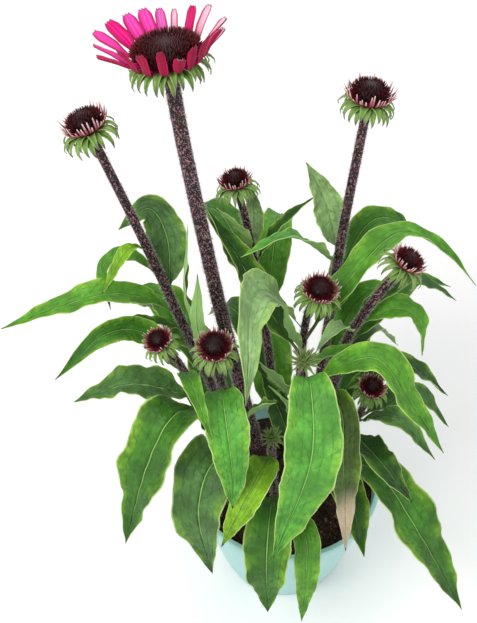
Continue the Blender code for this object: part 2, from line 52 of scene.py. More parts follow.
class Wire:
    # an output socket: Python's operators on it add Math nodes, and make adds any other node
    def __init__(self, tree, socket=None):
        self.tree = tree
        self.socket = socket

    def make(self, kind, settings, sockets, out=0):
        node = self.tree.nodes.new("ShaderNode" + kind)
        for key, value in settings.items():
            if key != "stops":
                setattr(node, key, value)
                continue
            ramp = node.color_ramp
            ramp.elements[0].position, ramp.elements[0].color = value[0]
            ramp.elements[1].position, ramp.elements[1].color = value[-1]
            for position, colour in value[1:-1]:
                ramp.elements.new(position).color = colour
        for key, value in sockets.items():
            if isinstance(value, Wire):
                self.tree.links.new(value.socket, node.inputs[key])
            else:
                node.inputs[key].default_value = value
        return Wire(self.tree, node.outputs[out])

    def math(self, operation, *values):
        return self.make("Math", {"operation": operation}, dict(enumerate(values)))

    def __add__(self, other):
        return self.math("ADD", self, other)

    def __sub__(self, other):
        return self.math("SUBTRACT", self, other)

    def __rsub__(self, other):
        return self.math("SUBTRACT", other, self)

    def __mul__(self, other):
        return self.math("MULTIPLY", self, other)

    def __abs__(self):
        return self.math("ABSOLUTE", self)

    __radd__ = __add__
    __rmul__ = __mul__

    def step(self, low, high):
        # 0 below low, 1 above high, smooth between
        sockets = {"Value": self, "From Min": low, "From Max": high}
        return self.make("MapRange", {"interpolation_type": "SMOOTHSTEP"}, sockets)

    def mix(self, first, second):
        # this wire is the share of the second colour, and a text is a hex colour
        first, second = [shade(colour) if isinstance(colour, str) else colour for colour in (first, second)]
        return self.make("Mix", {"data_type": "RGBA"}, {0: self, 6: first, 7: second}, 2)

    def times(self, factor):
        # a colour or a vector made stronger or weaker
        return self.make("VectorMath", {"operation": "SCALE"}, {0: self, "Scale": factor})

    def stretch(self, sizes):
        return self.make("VectorMath", {"operation": "MULTIPLY"}, {0: self, 1: sizes})

    def noise(self, scale, detail=2.0):
        return self.make("TexNoise", {}, {"Vector": self, "Scale": scale, "Detail": detail})

    def cells(self, scale, feature, **sockets):
        return self.make("TexVoronoi", {"feature": feature}, {"Vector": self, "Scale": scale, **sockets})

    def ramp(self, *stops):
        # this wire's value picks from stops of a place and a hex colour
        colours = [(place, shade(code)) for place, code in stops]
        return self.make("ValToRGB", {"stops": colours}, {0: self})

    def split(self):
        return [self.make("SeparateXYZ", {}, {0: self}, out) for out in range(3)]


class Finish:
    # a material with its Principled shader, ready to be fed
    def __init__(self, name, **fixed):
        self.material = bpy.data.materials.new(name)
        self.material.use_nodes = True
        self.tree = self.material.node_tree
        self.shader = self.tree.nodes["Principled BSDF"]
        for key, value in fixed.items():
            self.shader.inputs[key.replace("_", " ")].default_value = value
        start = Wire(self.tree)
        self.spot = start.make("TexCoord", {}, {}, 3)
        self.marks = start.make("Attribute", {"attribute_name": "paint"}, {}, 1).split()
        self.tone = start.make("Attribute", {"attribute_name": "tone"}, {})

    def feed(self, colour, roughness, height, depth):
        # depth is the relief of the bump in mm
        sockets = {"Height": height, "Distance": depth * mm, "Strength": 1.0}
        relief = height.make("Bump", {}, sockets)
        for key, wire in (("Base Color", colour), ("Roughness", roughness), ("Normal", relief)):
            self.tree.links.new(wire.socket, self.shader.inputs[key])
        return self.material


# Finishes. A piece carries paint, which is the place along it, the place across it and a random share,
# and tone, which is its own colour. Colours are in hex, scales are of the noise, relief is in mm
leafPaint = {
    "lime": "9ccc2c",
    "edge": "c3dc8a",
    "vein": "a9cf7a",
    "tip": "4a3018",
    "stalk": "6f8a3a",
    "under": "a4c886",
    "withered": "c9b79a",
    "cloudScale": 55,
    "blisterScale": 260,
    "netScale": 420,
    "rungs": 11,  # short cross veins along a leaf
    "sideVeins": (0.36, 0.66),  # from the midrib to the margin
    "witheredChance": 0.985,  # the random share that the withered leaf carries
    "relief": 0.45,
}


def leafFinish(name, under):
    look = leafPaint
    made = Finish(name, Specular_IOR_Level=0.32)
    along, across, chance = made.marks
    off = abs(across * 2 - 1)  # 0 on the midrib, 1 on the margin
    cloud = made.spot.noise(look["cloudScale"])
    grain = made.spot.noise(1100, 3)
    wander = made.spot.noise(140, 1)
    # the hollows between the raised blisters: the bump sinks them, and on the upper side they are darkened
    # with painted shade
    blisterHollow = made.spot.cells(look["blisterScale"], "SMOOTH_F1", Smoothness=0.7).step(0.1, 0.75)
    broken = made.spot.noise(190, 3).step(0.36, 0.6)
    midrib = 1 - off.step(0.02, 0.07)
    core = (1 - off.step(0.008, 0.028)) * along.step(1.0, 0.8)
    drift = off + (wander * 0.09 - 0.045)
    near, far = look["sideVeins"]
    lateral = (1 - abs(drift - near).step(0.004, 0.05)) + (1 - abs(drift - far).step(0.004, 0.04))
    lateral = lateral * (broken * 0.75 + 0.15)
    rung = along * look["rungs"] + off * 1.5 + wander * 0.8
    rungs = 1 - abs(rung.math("FRACT", rung) - 0.5).step(0.015, 0.09)
    net = 1 - made.spot.cells(look["netScale"], "DISTANCE_TO_EDGE").step(0, 0.12)
    if under:
        colour = (cloud * 0.5 + 0.35).mix(made.tone, look["under"])
        colour = (lateral * 0.5 + rungs * 0.25 + net * 0.12).mix(colour, look["vein"])
        colour = (midrib * 0.8).mix(colour, look["edge"])
        height = midrib * 1.2 + lateral * 0.6 + rungs * 0.3 + grain * 0.12
    else:
        # the leaf's tone as painted shade, laid into the hollows of the relief
        dark = made.tone.times(0.42)
        margin = off.step(0.45, 1.0) * cloud.step(0.35, 0.65)
        colour = cloud.step(0.3, 0.72).mix(made.tone.times(0.62), made.tone.times(1.15))
        colour = (margin * 0.55).mix(colour, look["lime"])
        # painted shade in the hollows between the blisters
        colour = (blisterHollow * 0.42).mix(colour, dark)
        # painted shade along the sunken veins, the sides of the midrib and the fine net
        colour = (lateral * 0.4 + rungs * broken * 0.35 + midrib * 0.5 + net * 0.16).mix(colour, dark)
        colour = (core * 0.8).mix(colour, look["vein"])
        height = 1 - (midrib * 0.9 + lateral * 0.6 + rungs * 0.4 + net * 0.15 + blisterHollow * 0.9) + grain * 0.1
    colour = (off.step(0.93, 0.985) * 0.75).mix(colour, look["edge"])
    colour = (1 - along.step(0.05, 0.14)).mix(colour, look["stalk"])
    shrivel = along.step(0.6, 0.78) * (1 - abs(chance - look["witheredChance"]).step(0.012, 0.014))
    colour = shrivel.mix(colour, look["withered"])
    browned = (along + wander * 0.03 + off * 0.01).step(0.985, 1.005) * chance.step(0.4, 0.5)
    colour = browned.mix(colour, look["tip"])
    return made.feed(colour, grain * 0.22 + 0.4, height, look["relief"])


petalPaint = {
    "backRoot": "400018",
    "back": "960034",
    "backStreak": "a80444",
    "root": "e6007a",
    "margin": "b40a50",
    "tip": "6a3a40",
    "streaks": 26,  # radians of the pattern across a petal
    "relief": 0.3,
}


def petalFinish(name, under):
    look = petalPaint
    made = Finish(name, Specular_IOR_Level=0.22)
    along, across, _ = made.marks
    off = abs(across * 2 - 1)
    streak = across * look["streaks"] + made.spot.noise(220, 1) * 1.6
    streak = streak.math("SINE", streak)
    grain = made.spot.noise(900, 2)
    if under:
        colour = along.step(0.05, 0.75).mix(look["backRoot"], look["back"])
        colour = (streak * 0.15 + 0.15).mix(colour, look["backStreak"])
    else:
        colour = (along.step(0.9, 0.15) * 0.75).mix(made.tone, look["root"])
        colour = (streak * 0.2 + 0.2).mix(colour, made.tone.times(0.72))
    colour = (off.step(0.5, 0.85) * 0.85).mix(colour, look["margin"])
    colour = (along.step(0.95, 1.0) * 0.7).mix(colour, look["tip"])
    return made.feed(colour, grain * 0.2 + 0.42, streak * 0.3 + grain * 0.3, look["relief"])


bractPaint = {
    "side": "7f9f50",
    "tip": "594650",
    "edge": "b9cc98",
    "relief": 0.3,
}


def bractFinish():
    look = bractPaint
    made = Finish("bract green", Specular_IOR_Level=0.3)
    along, across, chance = made.marks
    off = abs(across * 2 - 1)
    grain = made.spot.noise(700, 3)
    stripe = 1 - off.step(0.1, 0.6)
    colour = (stripe * 0.75).mix(look["side"], made.tone)
    colour = (grain.step(0.35, 0.65) * 0.35).mix(colour, made.tone.times(0.5))
    tip = along.step(0.62, 0.98) * (chance * 0.7 + 0.3)
    colour = tip.mix(colour, look["tip"])
    colour = (off.step(0.88, 1.0) * 0.4).mix(colour, look["edge"])
    return made.feed(colour, grain * 0.2 + 0.5, grain - stripe * 0.6, look["relief"])


floretPaint = {
    "spike": ((0.0, "080103"), (0.5, "220206"), (0.8, "5a0610"), (1.0, "860c1a")),
    "shadow": "1a0307",
    "ringPlace": 0.2,  # where the pale tips stand, from the head's middle to its rim
    "relief": 0.1,
}


def floretFinish():
    # here the place across is the floret's distance from the head's middle
    look = floretPaint
    made = Finish("floret maroon", Specular_IOR_Level=0.35)
    along, out, chance = made.marks
    grain = made.spot.noise(1500, 2)
    ring = 1 - abs(out - look["ringPlace"]).step(0.05, 0.2)
    pale = ring * along.step(0.86, 0.98) * (chance * 0.6 + 0.4)
    colour = pale.mix(along.ramp(*look["spike"]), made.tone)
    colour = (out.step(0.62, 1.0) * 0.72).mix(colour, look["shadow"])
    return made.feed(colour, grain * 0.25 + 0.4, grain + along, look["relief"])


stubPaint = {
    "length": ((0.0, "3a0614"), (0.4, "7a1830"), (0.68, "b86a78"), (1.0, "e6d2c4")),
    "relief": 0.15,
}


def stubFinish():
    made = Finish("ray stub crimson", Specular_IOR_Level=0.3)
    along, _, chance = made.marks
    grain = made.spot.noise(900, 2)
    colour = (along + chance * 0.24 - 0.12).ramp(*stubPaint["length"])
    colour = (grain.step(0.4, 0.7) * 0.3).mix(colour, made.tone)
    return made.feed(colour, grain * 0.2 + 0.45, grain, stubPaint["relief"])


stemPaint = {
    "dark": "0e0408",
    "streak": "2c0d18",
    "speck": "a5707c",
    "foot": "3c1e1a",
    "speckScale": 850,
    "footTop": (0.09, 0.16),  # metres above the floor
    "relief": 0.25,
}


def stemFinish():
    look = stemPaint
    made = Finish("stem maroon", Specular_IOR_Level=0.35)
    height = made.spot.split()[2]
    streak = made.spot.stretch((1, 1, 0.06)).noise(700, 3)
    patch = made.spot.noise(60, 2)
    speck = made.spot.stretch((1, 1, 0.6)).noise(look["speckScale"], 1)
    colour = streak.step(0.35, 0.68).mix(look["dark"], look["streak"])
    colour = (patch.step(0.55, 0.8) * 0.35).mix(colour, made.tone)
    colour = (speck.step(0.57, 0.66) * 0.85).mix(colour, look["speck"])
    colour = (1 - height.step(*look["footTop"])).mix(colour, look["foot"])
    return made.feed(colour, streak * 0.25 + 0.38, streak + speck * 0.5, look["relief"])


bristlePaint = {
    "pale": "f4eeec",
    "pink": "b8989c",
    "root": "6e4048",
    "relief": 0.05,
}


def bristleFinish():
    look = bristlePaint
    made = Finish("white bristle", Specular_IOR_Level=0.4)
    along, _, chance = made.marks
    grain = made.spot.noise(800, 1)
    colour = (chance * 0.6 + grain * 0.2).mix(look["pale"], look["pink"])
    colour = along.step(0.3, 0.0).mix(colour, look["root"])
    return made.feed(colour, grain * 0.2 + 0.4, grain, look["relief"])


potPaint = {
    "light": "acd8d5",
    "deep": "98cbc7",
    "scuff": "c8e6e4",
    "dirt": "7d7a68",
    "dirtTop": (0.07, 0.098),  # metres above the floor
    "relief": 0.06,
}


def potFinish():
    look = potPaint
    made = Finish("mint plastic", Specular_IOR_Level=0.45, Coat_Weight=0.05)
    height = made.spot.split()[2]
    cloud = made.spot.noise(28, 3)
    grain = made.spot.noise(2400, 2)
    scuff = made.spot.stretch((1, 1, 6)).noise(120, 4)
    colour = cloud.mix(look["light"], look["deep"])
    colour = (scuff.step(0.62, 0.75) * 0.3).mix(colour, look["scuff"])
    smudge = made.spot.noise(90, 4).step(0.6, 0.78) * height.step(*look["dirtTop"])
    colour = (smudge * 0.4).mix(colour, look["dirt"])
    return made.feed(colour, scuff * 0.25 + 0.3, grain * 0.5 + scuff, look["relief"])


soilPaint = {
    "dark": "17100c",
    "brown": "3d2a20",
    "damp": "20160f",
    "bark": "6e3a26",
    "straw": "85705a",
    "relief": 1.2,
    "crumbs": ((0.0, "1b120d"), (0.55, "35231a"), (0.8, "5a3222"), (1.0, "8a7258")),
    "crumbShade": "140d09",
    "crumbRelief": 0.4,
}


def soilFinish():
    look = soilPaint
    made = Finish("potting mix", Specular_IOR_Level=0.2)
    cloud = made.spot.noise(90, 3)
    grain = made.spot.noise(700, 4)
    fleck = made.spot.noise(420, 2)
    colour = grain.step(0.3, 0.7).mix(look["dark"], look["brown"])
    colour = (cloud.step(0.5, 0.7) * 0.5).mix(colour, look["damp"])
    colour = (fleck.step(0.64, 0.7) * 0.8).mix(colour, look["bark"])
    colour = (fleck.step(0.36, 0.3) * 0.5).mix(colour, look["straw"])
    return made.feed(colour, grain * 0.2 + 0.75, grain + cloud, look["relief"])


def crumbFinish():
    look = soilPaint
    made = Finish("bark crumb", Specular_IOR_Level=0.2)
    _, _, chance = made.marks
    grain = made.spot.noise(900, 4)
    colour = (grain.step(0.35, 0.7) * 0.6).mix(chance.ramp(*look["crumbs"]), look["crumbShade"])
    return made.feed(colour, grain * 0.2 + 0.7, grain, look["crumbRelief"])


finish = {
    "leafTop": leafFinish("leaf upper side", False),
    "leafUnder": leafFinish("leaf underside", True),
    "petalTop": petalFinish("petal upper side", False),
    "petalUnder": petalFinish("petal back", True),
    "bract": bractFinish(),
    "floret": floretFinish(),
    "stub": stubFinish(),
    "stem": stemFinish(),
    "bristle": bristleFinish(),
    "pot": potFinish(),
    "soil": soilFinish(),
    "crumb": crumbFinish(),
}
print("finishes made:", len(finish))


def pick(*things):
    # these objects are the only selected ones, and the first is active
    for thing in bpy.context.selected_objects:
        thing.select_set(False)
    for thing in things:
        thing.select_set(True)
    if things:
        bpy.context.view_layer.objects.active = things[0]


def useModifier(thing, kind, **settings):
    pick(thing)
    modifier = thing.modifiers.new(kind.title(), kind)
    for key, value in settings.items():
        setattr(modifier, key, value)
    bpy.ops.object.modifier_apply(modifier=modifier.name)


def joined(name, things):
    pick(*things)
    if len(things) > 1:
        bpy.ops.object.join()
    things[0].name = name
    things[0].data.name = name
    return things[0]


def smoothRoute(points, count):
    # evenly spaced points on a Catmull-Rom curve
    knots = np.array(points, float)
    knots = np.vstack([2 * knots[0] - knots[1], knots, 2 * knots[-1] - knots[-2]])
    fine = []
    for a, b, c, d in zip(knots, knots[1:], knots[2:], knots[3:]):
        t = np.linspace(0, 1, 12, endpoint=False)[:, None]
        curve = 2 * b + (c - a) * t + (2 * a - 5 * b + 4 * c - d) * t**2 + (3 * b - a - 3 * c + d) * t**3
        fine.append(curve / 2)
    fine = np.vstack([*fine, knots[-2:-1]])
    length = np.concatenate([[0], np.cumsum(np.linalg.norm(np.diff(fine, axis=0), axis=1))])
    at = np.linspace(0, length[-1], count)
    return np.column_stack([np.interp(at, length, fine[:, axis]) for axis in range(3)])


def sidesOf(route, start=(0, 0, 1.0)):
    # the side and the upper normal at each point of a midrib or stem
    along = np.gradient(route, axis=0)
    along /= np.linalg.norm(along, axis=1)[:, None]
    normal = np.array(start, float)
    sides, normals = [], []
    for direction in along:
        normal = normal - direction * (normal @ direction)
        normal /= np.linalg.norm(normal)
        normals.append(normal)
        sides.append(np.cross(direction, normal))
    return np.array(sides), np.array(normals)


def rolled(side, normal, angle):
    cosine, sine = np.cos(angle)[:, None], np.sin(angle)[:, None]
    return side * cosine + normal * sine, normal * cosine - side * sine


def addPaint(thing, paint, tone):
    # paint is three numbers a point, tone is the piece's own colour
    count = len(thing.data.vertices)
    marks = thing.data.attributes.new("paint", "FLOAT_VECTOR", "POINT")
    marks.data.foreach_set("vector", np.broadcast_to(paint, (count, 3)).astype(np.float32).ravel())
    tones = thing.data.attributes.new("tone", "FLOAT_COLOR", "POINT")
    tones.data.foreach_set("color", np.broadcast_to(tone, (count, 4)).astype(np.float32).ravel())


def strip(route, side, normal, across, half, lifts, chance, tone, thickness, skins, push=None):
    # a grid laid along a route as a thin blade: leaf, petal or bract
    rows, columns = lifts.shape
    pick()
    bpy.ops.mesh.primitive_grid_add(x_subdivisions=columns - 1, y_subdivisions=rows - 1, size=mm)
    made = bpy.context.object
    offset = side[:, None] * (half[:, None] * across)[..., None]
    spot = route[:, None] + offset + normal[:, None] * lifts[..., None]
    if push is not None:
        ahead = np.cross(normal, side)
        spot = spot + ahead[:, None] * push[..., None]
    made.data.vertices.foreach_set("co", (spot * mm).astype(np.float32).ravel())
    along = np.linspace(0, 1, rows)[:, None]
    paint = np.stack(np.broadcast_arrays(along, across / 2 + 0.5, chance), axis=-1).reshape(-1, 3)
    addPaint(made, paint, tone)
    for skin in skins:
        made.data.materials.append(finish[skin])
    useModifier(made, "SOLIDIFY", thickness=thickness * mm, offset=0, material_offset=len(skins) - 1)
    made.data.shade_smooth()
    return made


def scatter(source, places, axes, scales, spins, paint, tones, skin):
    # one mesh of many copies of a small model, each turned from +Z to its own axis
    mesh = source.data
    count = len(mesh.vertices)
    points = np.empty(count * 3, np.float32)
    mesh.vertices.foreach_get("co", points)
    points = points.reshape(-1, 3)
    faces = np.array([tuple(face.vertices) for face in mesh.polygons])
    axes = axes / np.linalg.norm(axes, axis=1)[:, None]
    helper = np.where(np.abs(axes[:, 2:]) < 0.9, (0, 0, 1.0), (1.0, 0, 0))
    x = np.cross(helper, axes)
    x /= np.linalg.norm(x, axis=1)[:, None]
    y = np.cross(axes, x)
    cosine, sine = np.cos(spins)[:, None], np.sin(spins)[:, None]
    x, y = x * cosine + y * sine, y * cosine - x * sine
    scales = np.asarray(scales)
    turn = np.stack([x * scales[:, :1], y * scales[:, 1:2], axes * scales[:, 2:]], axis=-1)
    spots = np.einsum("nij,vj->nvi", turn, points) + np.asarray(places)[:, None]
    allFaces = (faces[None] + count * np.arange(len(places))[:, None, None]).reshape(-1, faces.shape[1])
    made = bpy.data.objects.new(source.name + "s", bpy.data.meshes.new(source.name + "s"))
    made.data.from_pydata((spots * mm).reshape(-1, 3).tolist(), [], allFaces.tolist())
    bpy.context.scene.collection.objects.link(made)
    marks = np.empty((len(places), count, 3))
    marks[..., 0] = points[:, 2] - points[:, 2].min()
    marks[..., 0] /= marks[..., 0].max()
    marks[..., 1:] = np.asarray(paint)[:, None]
    addPaint(made, marks.reshape(-1, 3), np.repeat(np.asarray(tones), count, axis=0))
    made.data.materials.append(finish[skin])
    made.data.shade_smooth()
    return made


def cutAcross(thing, cuts, longest):
    # cuts a tube across: its edges that run further than longest along Z are divided
    bpy.ops.object.mode_set(mode="EDIT")
    bpy.ops.mesh.select_mode(type="EDGE")
    bpy.ops.mesh.select_all(action="DESELECT")
    bpy.ops.object.mode_set(mode="OBJECT")
    for edge in thing.data.edges:
        first, second = (thing.data.vertices[index].co for index in edge.vertices)
        edge.select = abs(first.z - second.z) > longest
    bpy.ops.object.mode_set(mode="EDIT")
    if cuts > 0:
        bpy.ops.mesh.subdivide(number_cuts=cuts)


def spike(name, sides, rings, profile):
    # a cone of height 1 cut into rings, whose radius follows the profile. All faces have as many corners
    pick()
    bpy.ops.mesh.primitive_cone_add(vertices=sides, radius1=1, radius2=0.5, depth=1, location=(0, 0, 0.5),
                                    end_fill_type="NOTHING")
    made = bpy.context.object
    made.name = name
    cutAcross(made, rings - 1, 0.5)
    bpy.ops.mesh.select_all(action="SELECT")
    bpy.ops.mesh.quads_convert_to_tris()
    bpy.ops.object.mode_set(mode="OBJECT")
    bpy.ops.object.transform_apply(location=True, rotation=True, scale=True)
    heights = [point for point, _ in profile]
    radii = [radius for _, radius in profile]
    for vert in made.data.vertices:
        flat = Vector((vert.co.x, vert.co.y)).normalized() * float(np.interp(vert.co.z, heights, radii))
        vert.co.x, vert.co.y = flat
    pick(made)
    bpy.ops.object.mode_set(mode="EDIT")
    bpy.ops.mesh.select_all(action="SELECT")
    bpy.ops.mesh.remove_doubles(threshold=0.0001)
    bpy.ops.mesh.select_all(action="DESELECT")
    bpy.ops.mesh.select_non_manifold()
    bpy.ops.mesh.edge_face_add()
    bpy.ops.mesh.select_all(action="SELECT")
    bpy.ops.mesh.quads_convert_to_tris()
    bpy.ops.mesh.normals_make_consistent(inside=False)
    bpy.ops.object.mode_set(mode="OBJECT")
    return made


def seat(thing, place, axis):
    # turns a head from +Z to the stem's axis and sets it on the stem's end
    turn = Vector((0, 0, 1)).rotation_difference(axis).to_matrix().to_4x4()
    turn.translation = place
    thing.data.transform(turn)


def hand(piece, slot, *nodes):
    # the piece rides on the one body, and stands for these nodes
    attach(piece, "root")
    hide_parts(*nodes)


hair = spike("hair", 3, 1, [(0, 0.085), (1, 0.015)])
floret = spike("floret", 5, 4, [(0, 0.62), (0.4, 0.5), (0.7, 0.36), (0.9, 0.2), (1, 0.05)])

leafLook = {
    "rows": 46,
    "columns": (0, 0.07, 0.2, 0.36, 0.52, 0.68, 0.8, 0.93, 1),  # from the midrib to the margin
    "fold": math.radians(17),
    "waves": 3.3,
    "waveHeight": 0.085,
    "twist": 7,  # degrees either way
    "ripples": (8.3, 0.07),  # how many, and their share of the half width
    "blisters": 9,
    "quilt": 0.02,  # rise between the veins, as a share of the width
    "veins": ((0.36, 0.07), (0.68, 0.06), (0, 0.06)),  # place and softness
    "frill": ((5.3, 0.03), (13, 0.02)),  # how many notches, and their share of the half width
    "thickness": 0.32,
    "stalkShare": 0.1,
    "stalkWidth": 3.0,
    "tipWidth": 0.24,
    "witheredTone": "olive",  # only the leaf of this tone has the withered end
}
tones = {
    "bright": shade("5ea52c"),
    "sea": shade("5fae3e"),
    "deep": shade("417f1d"),
    "dark": shade("2f6016"),
    "grey": shade("52803f"),
    "pale": shade("9cc57e"),
    "lime": shade("7fb520"),
    "olive": shade("4d6d20"),
}
# Each stem: the points of its route, its radius at foot and head, and its leaves. A leaf is the height
# of its root, the points of its midrib, its width, its roll in degrees and its tone
stems = {
    "open_bloom": {
        "foot": (-16, 4),
        "route": [(-33, 4, 200), (-47, 4, 283), (-64, 8, 398), (-71, 15, 450)],
        "radius": (4.6, 4.1),
        "leaves": [
            (222, [(-66, -6, 285), (-64, 0, 352)], 15, 20, "grey"),
            (208, [(-58, -22, 275), (-58, -27, 338)], 15, -15, "bright"),
        ],
    },
    "left_bud": {
        "foot": (-27, 16),
        "route": [(-52, 18, 180), (-78, 22, 266), (-101, 34, 330), (-121, 44, 382)],
        "radius": (3.3, 2.8),
        "leaves": [
            (252, [(-100, 16, 275), (-130, 10, 279), (-186, 0, 261)], 21, 0, "bright"),
            (284, [(-104, 32, 296), (-120, 26, 290), (-116, 10, 268)], 11, 0, "bright"),
            (304, [(-103, 18, 313), (-119, 2, 291)], 9, 0, "lime"),
            (268, [(-80, 46, 296), (-92, 60, 310), (-112, 54, 297)], 26, 0, "grey"),
            (238, [(-97, 2, 266), (-121, -6, 262)], 11, 0, "deep"),
            (184, [(-84, 52, 222), (-112, 84, 196)], 22, 0, "deep"),
            (122, [(-54, 44, 156), (-68, 72, 178), (-84, 98, 166)], 30, 0, "deep"),
            (210, [(-84, 42, 244), (-106, 62, 236)], 26, 0, "bright"),
        ],
    },
    "right_bud": {
        "foot": (18, 24),
        "route": [(24, 28, 200), (30, 32, 307), (37, 42, 373), (40, 45, 402)],
        "radius": (3.3, 2.8),
        "leaves": [
            (296, [(20, 44, 328), (7, 51, 356)], 21, 10, "pale"),
            (288, [(-2, 8, 334), (-33, -8, 333)], 18, -12, "sea"),
            (268, [(46, 58, 292), (64, 68, 295), (88, 76, 270)], 19, 0, "deep"),
            (230, [(44, 74, 258), (66, 112, 234)], 22, 0, "deep"),
            (160, [(56, 60, 196), (86, 84, 150)], 22, 0, "dark"),
            (124, [(44, 52, 158), (56, 80, 172), (68, 98, 156)], 30, 0, "deep"),
            (196, [(48, 50, 234), (74, 70, 234)], 26, 0, "bright"),
        ],
    },
    "back_head": {
        "foot": (-3, 32),
        "route": [(-14, 42, 200), (-27, 54, 290), (-35, 60, 326)],
        "radius": (2.8, 2.4),
        "leaves": [
            (280, [(-34, 38, 312), (-49, 30, 339)], 10, 0, "lime"),
            (278, [(-24, 70, 296), (-27, 78, 316)], 13, 0, "pale"),
            (222, [(-38, 50, 276), (-54, 46, 316)], 22, 0, "grey"),
            (268, [(-6, 52, 304), (16, 60, 322)], 12, 0, "dark"),
            (240, [(-44, 84, 280), (-70, 118, 262)], 24, 0, "deep"),
            (215, [(-8, 96, 262), (-2, 140, 232)], 24, 0, "bright"),
            (150, [(-36, 76, 196), (-58, 106, 160)], 22, 0, "dark"),
            (112, [(-12, 66, 160), (-14, 98, 170), (-12, 124, 146)], 32, 0, "bright"),
        ],
    },
    "right_head": {
        "foot": (33, 3),
        "route": [(30, 4, 150), (33, 2, 235), (50, 4, 282), (66, 8, 307)],
        "radius": (2.9, 2.5),
        "leaves": [
            (272, [(70, 18, 287), (88, 22, 279), (108, 26, 260)], 13, 0, "grey"),
            (262, [(66, 4, 276), (80, 0, 268), (84, -8, 244)], 18, 0, "bright"),
            (240, [(76, 40, 262), (112, 62, 236)], 22, 0, "deep"),
            (255, [(26, -16, 280), (13, -30, 273)], 12, 0, "pale"),
            (176, [(74, 10, 214), (112, 14, 176)], 22, 0, "dark"),
            (168, [(22, -18, 214), (24, -34, 242)], 20, 0, "deep"),
        ],
    },
    "middle_head": {
        "foot": (7, 7),
        "route": [(6, 2, 180), (8, -3, 270), (14, -6, 297)],
        "radius": (2.7, 2.4),
        "leaves": [
            (262, [(-18, -14, 310), (-28, -42, 324), (-29, -68, 312), (-30, -86, 290)], 27, 0, "pale"),
            (240, [(-4, -24, 290), (-7, -30, 318)], 9, 0, "bright"),
            (250, [(34, 14, 290), (68, 44, 304), (98, 40, 292), (120, 30, 270)], 21, 0, "bright"),
            (222, [(32, -10, 252), (50, -16, 254)], 11, 0, "bright"),
            (236, [(-14, 12, 264), (-35, 26, 300), (-54, 40, 328)], 24, 0, "dark"),
            (186, [(-8, -18, 226), (-22, -28, 262)], 22, 0, "deep"),
            (118, [(-4, 18, 150), (-18, 34, 176)], 24, 0, "dark"),
        ],
    },
    "left_head": {
        "foot": (-33, -8),
        "route": [(-52, -16, 180), (-69, -23, 248), (-81, -28, 277)],
        "radius": (2.6, 2.2),
        "leaves": [
            (232, [(-92, -6, 262), (-118, -18, 275), (-148, -38, 256)], 17, 0, "deep"),
            (214, [(-102, -20, 230), (-142, -22, 214)], 28, 0, "grey"),
            (206, [(-76, -52, 236), (-93, -68, 204), (-110, -79, 134)], 38, 0, "deep"),
            (246, [(-62, -62, 280), (-50, -88, 260)], 13, 0, "bright"),
            (130, [(-56, -6, 172), (-70, -2, 196)], 22, 0, "dark"),
        ],
    },
    "front_head": {
        "foot": (-15, -18),
        "route": [(-34, -30, 180), (-47, -36, 262), (-48, -41, 285)],
        "radius": (2.8, 2.4),
        "leaves": [
            (246, [(-43, -66, 264), (-38, -92, 234), (-38, -98, 204)], 26, 0, "sea"),
            (150, [(-50, -60, 200), (-60, -84, 178), (-52, -90, 114)], 38, 0, "grey"),
            (196, [(-26, -48, 236), (-10, -60, 262)], 26, 0, "deep"),
            (128, [(-36, -62, 168), (-40, -86, 186)], 24, 0, "dark"),
        ],
    },
    "centre_tuft": {
        "foot": (4, -21),
        "route": [(5, -32, 180), (5, -42, 255), (5, -45, 279)],
        "radius": (2.7, 2.3),
        "leaves": [
            (262, [(8, -66, 284), (8, -98, 250), (-13, -118, 178)], 34, 0, "sea"),
            (252, [(46, -44, 284), (71, -58, 255), (95, -64, 215)], 23, 0, "bright"),
            (220, [(26, -62, 262), (32, -78, 205), (38, -80, 126)], 20, 0, "olive"),
            (196, [(-4, -42, 236), (-16, -46, 260)], 16, 0, "deep"),
        ],
    },
    "lower_head": {
        "foot": (25, -19),
        "route": [(36, -22, 160), (47, -24, 210), (50, -26, 229)],
        "radius": (2.5, 2.2),
        "leaves": [
            (200, [(80, -14, 214), (106, -24, 190)], 17, 0, "grey"),
            (196, [(66, -44, 224), (92, -58, 200)], 16, 0, "grey"),
            (186, [(56, -66, 208), (78, -76, 178)], 20, 0, "dark"),
            (148, [(56, -56, 184), (86, -82, 148), (122, -94, 72)], 34, 0, "deep"),
            (126, [(40, -58, 158), (50, -86, 128)], 24, 0, "dark"),
        ],
    },
    "lower_tuft": {
        "foot": (-7, -37),
        "route": [(-11, -46, 160), (-13, -54, 205), (-13, -56, 219)],
        "radius": (2.3, 2.0),
        "leaves": [
            (202, [(-24, -90, 220), (-45, -104, 170)], 22, 0, "lime"),
            (140, [(-14, -80, 168), (-16, -98, 140), (-14, -99, 78)], 31, 0, "deep"),
            (128, [(9, -78, 146), (11, -94, 124), (10, -98, 63)], 18, 0, "bright"),
            (112, [(2, -58, 146), (14, -70, 170)], 20, 0, "dark"),
        ],
    },
}
stemLook = {
    "foot": 76,  # height of the foot in its hole
    "soilTop": 99,
    "rows": 40,
    "sides": 14,
    "hairsPerMm": 19,
    "hairLength": (0.9, 2.3),
    "hairStart": 0.12,  # share of the stem below the first hairs
    "hairLean": ((-0.3, 0.3), (-0.3, 0.3), (-0.1, 0.5)),
    "ribs": (5, 0.025),  # how many run up the stem, and their height as a share of its radius
}


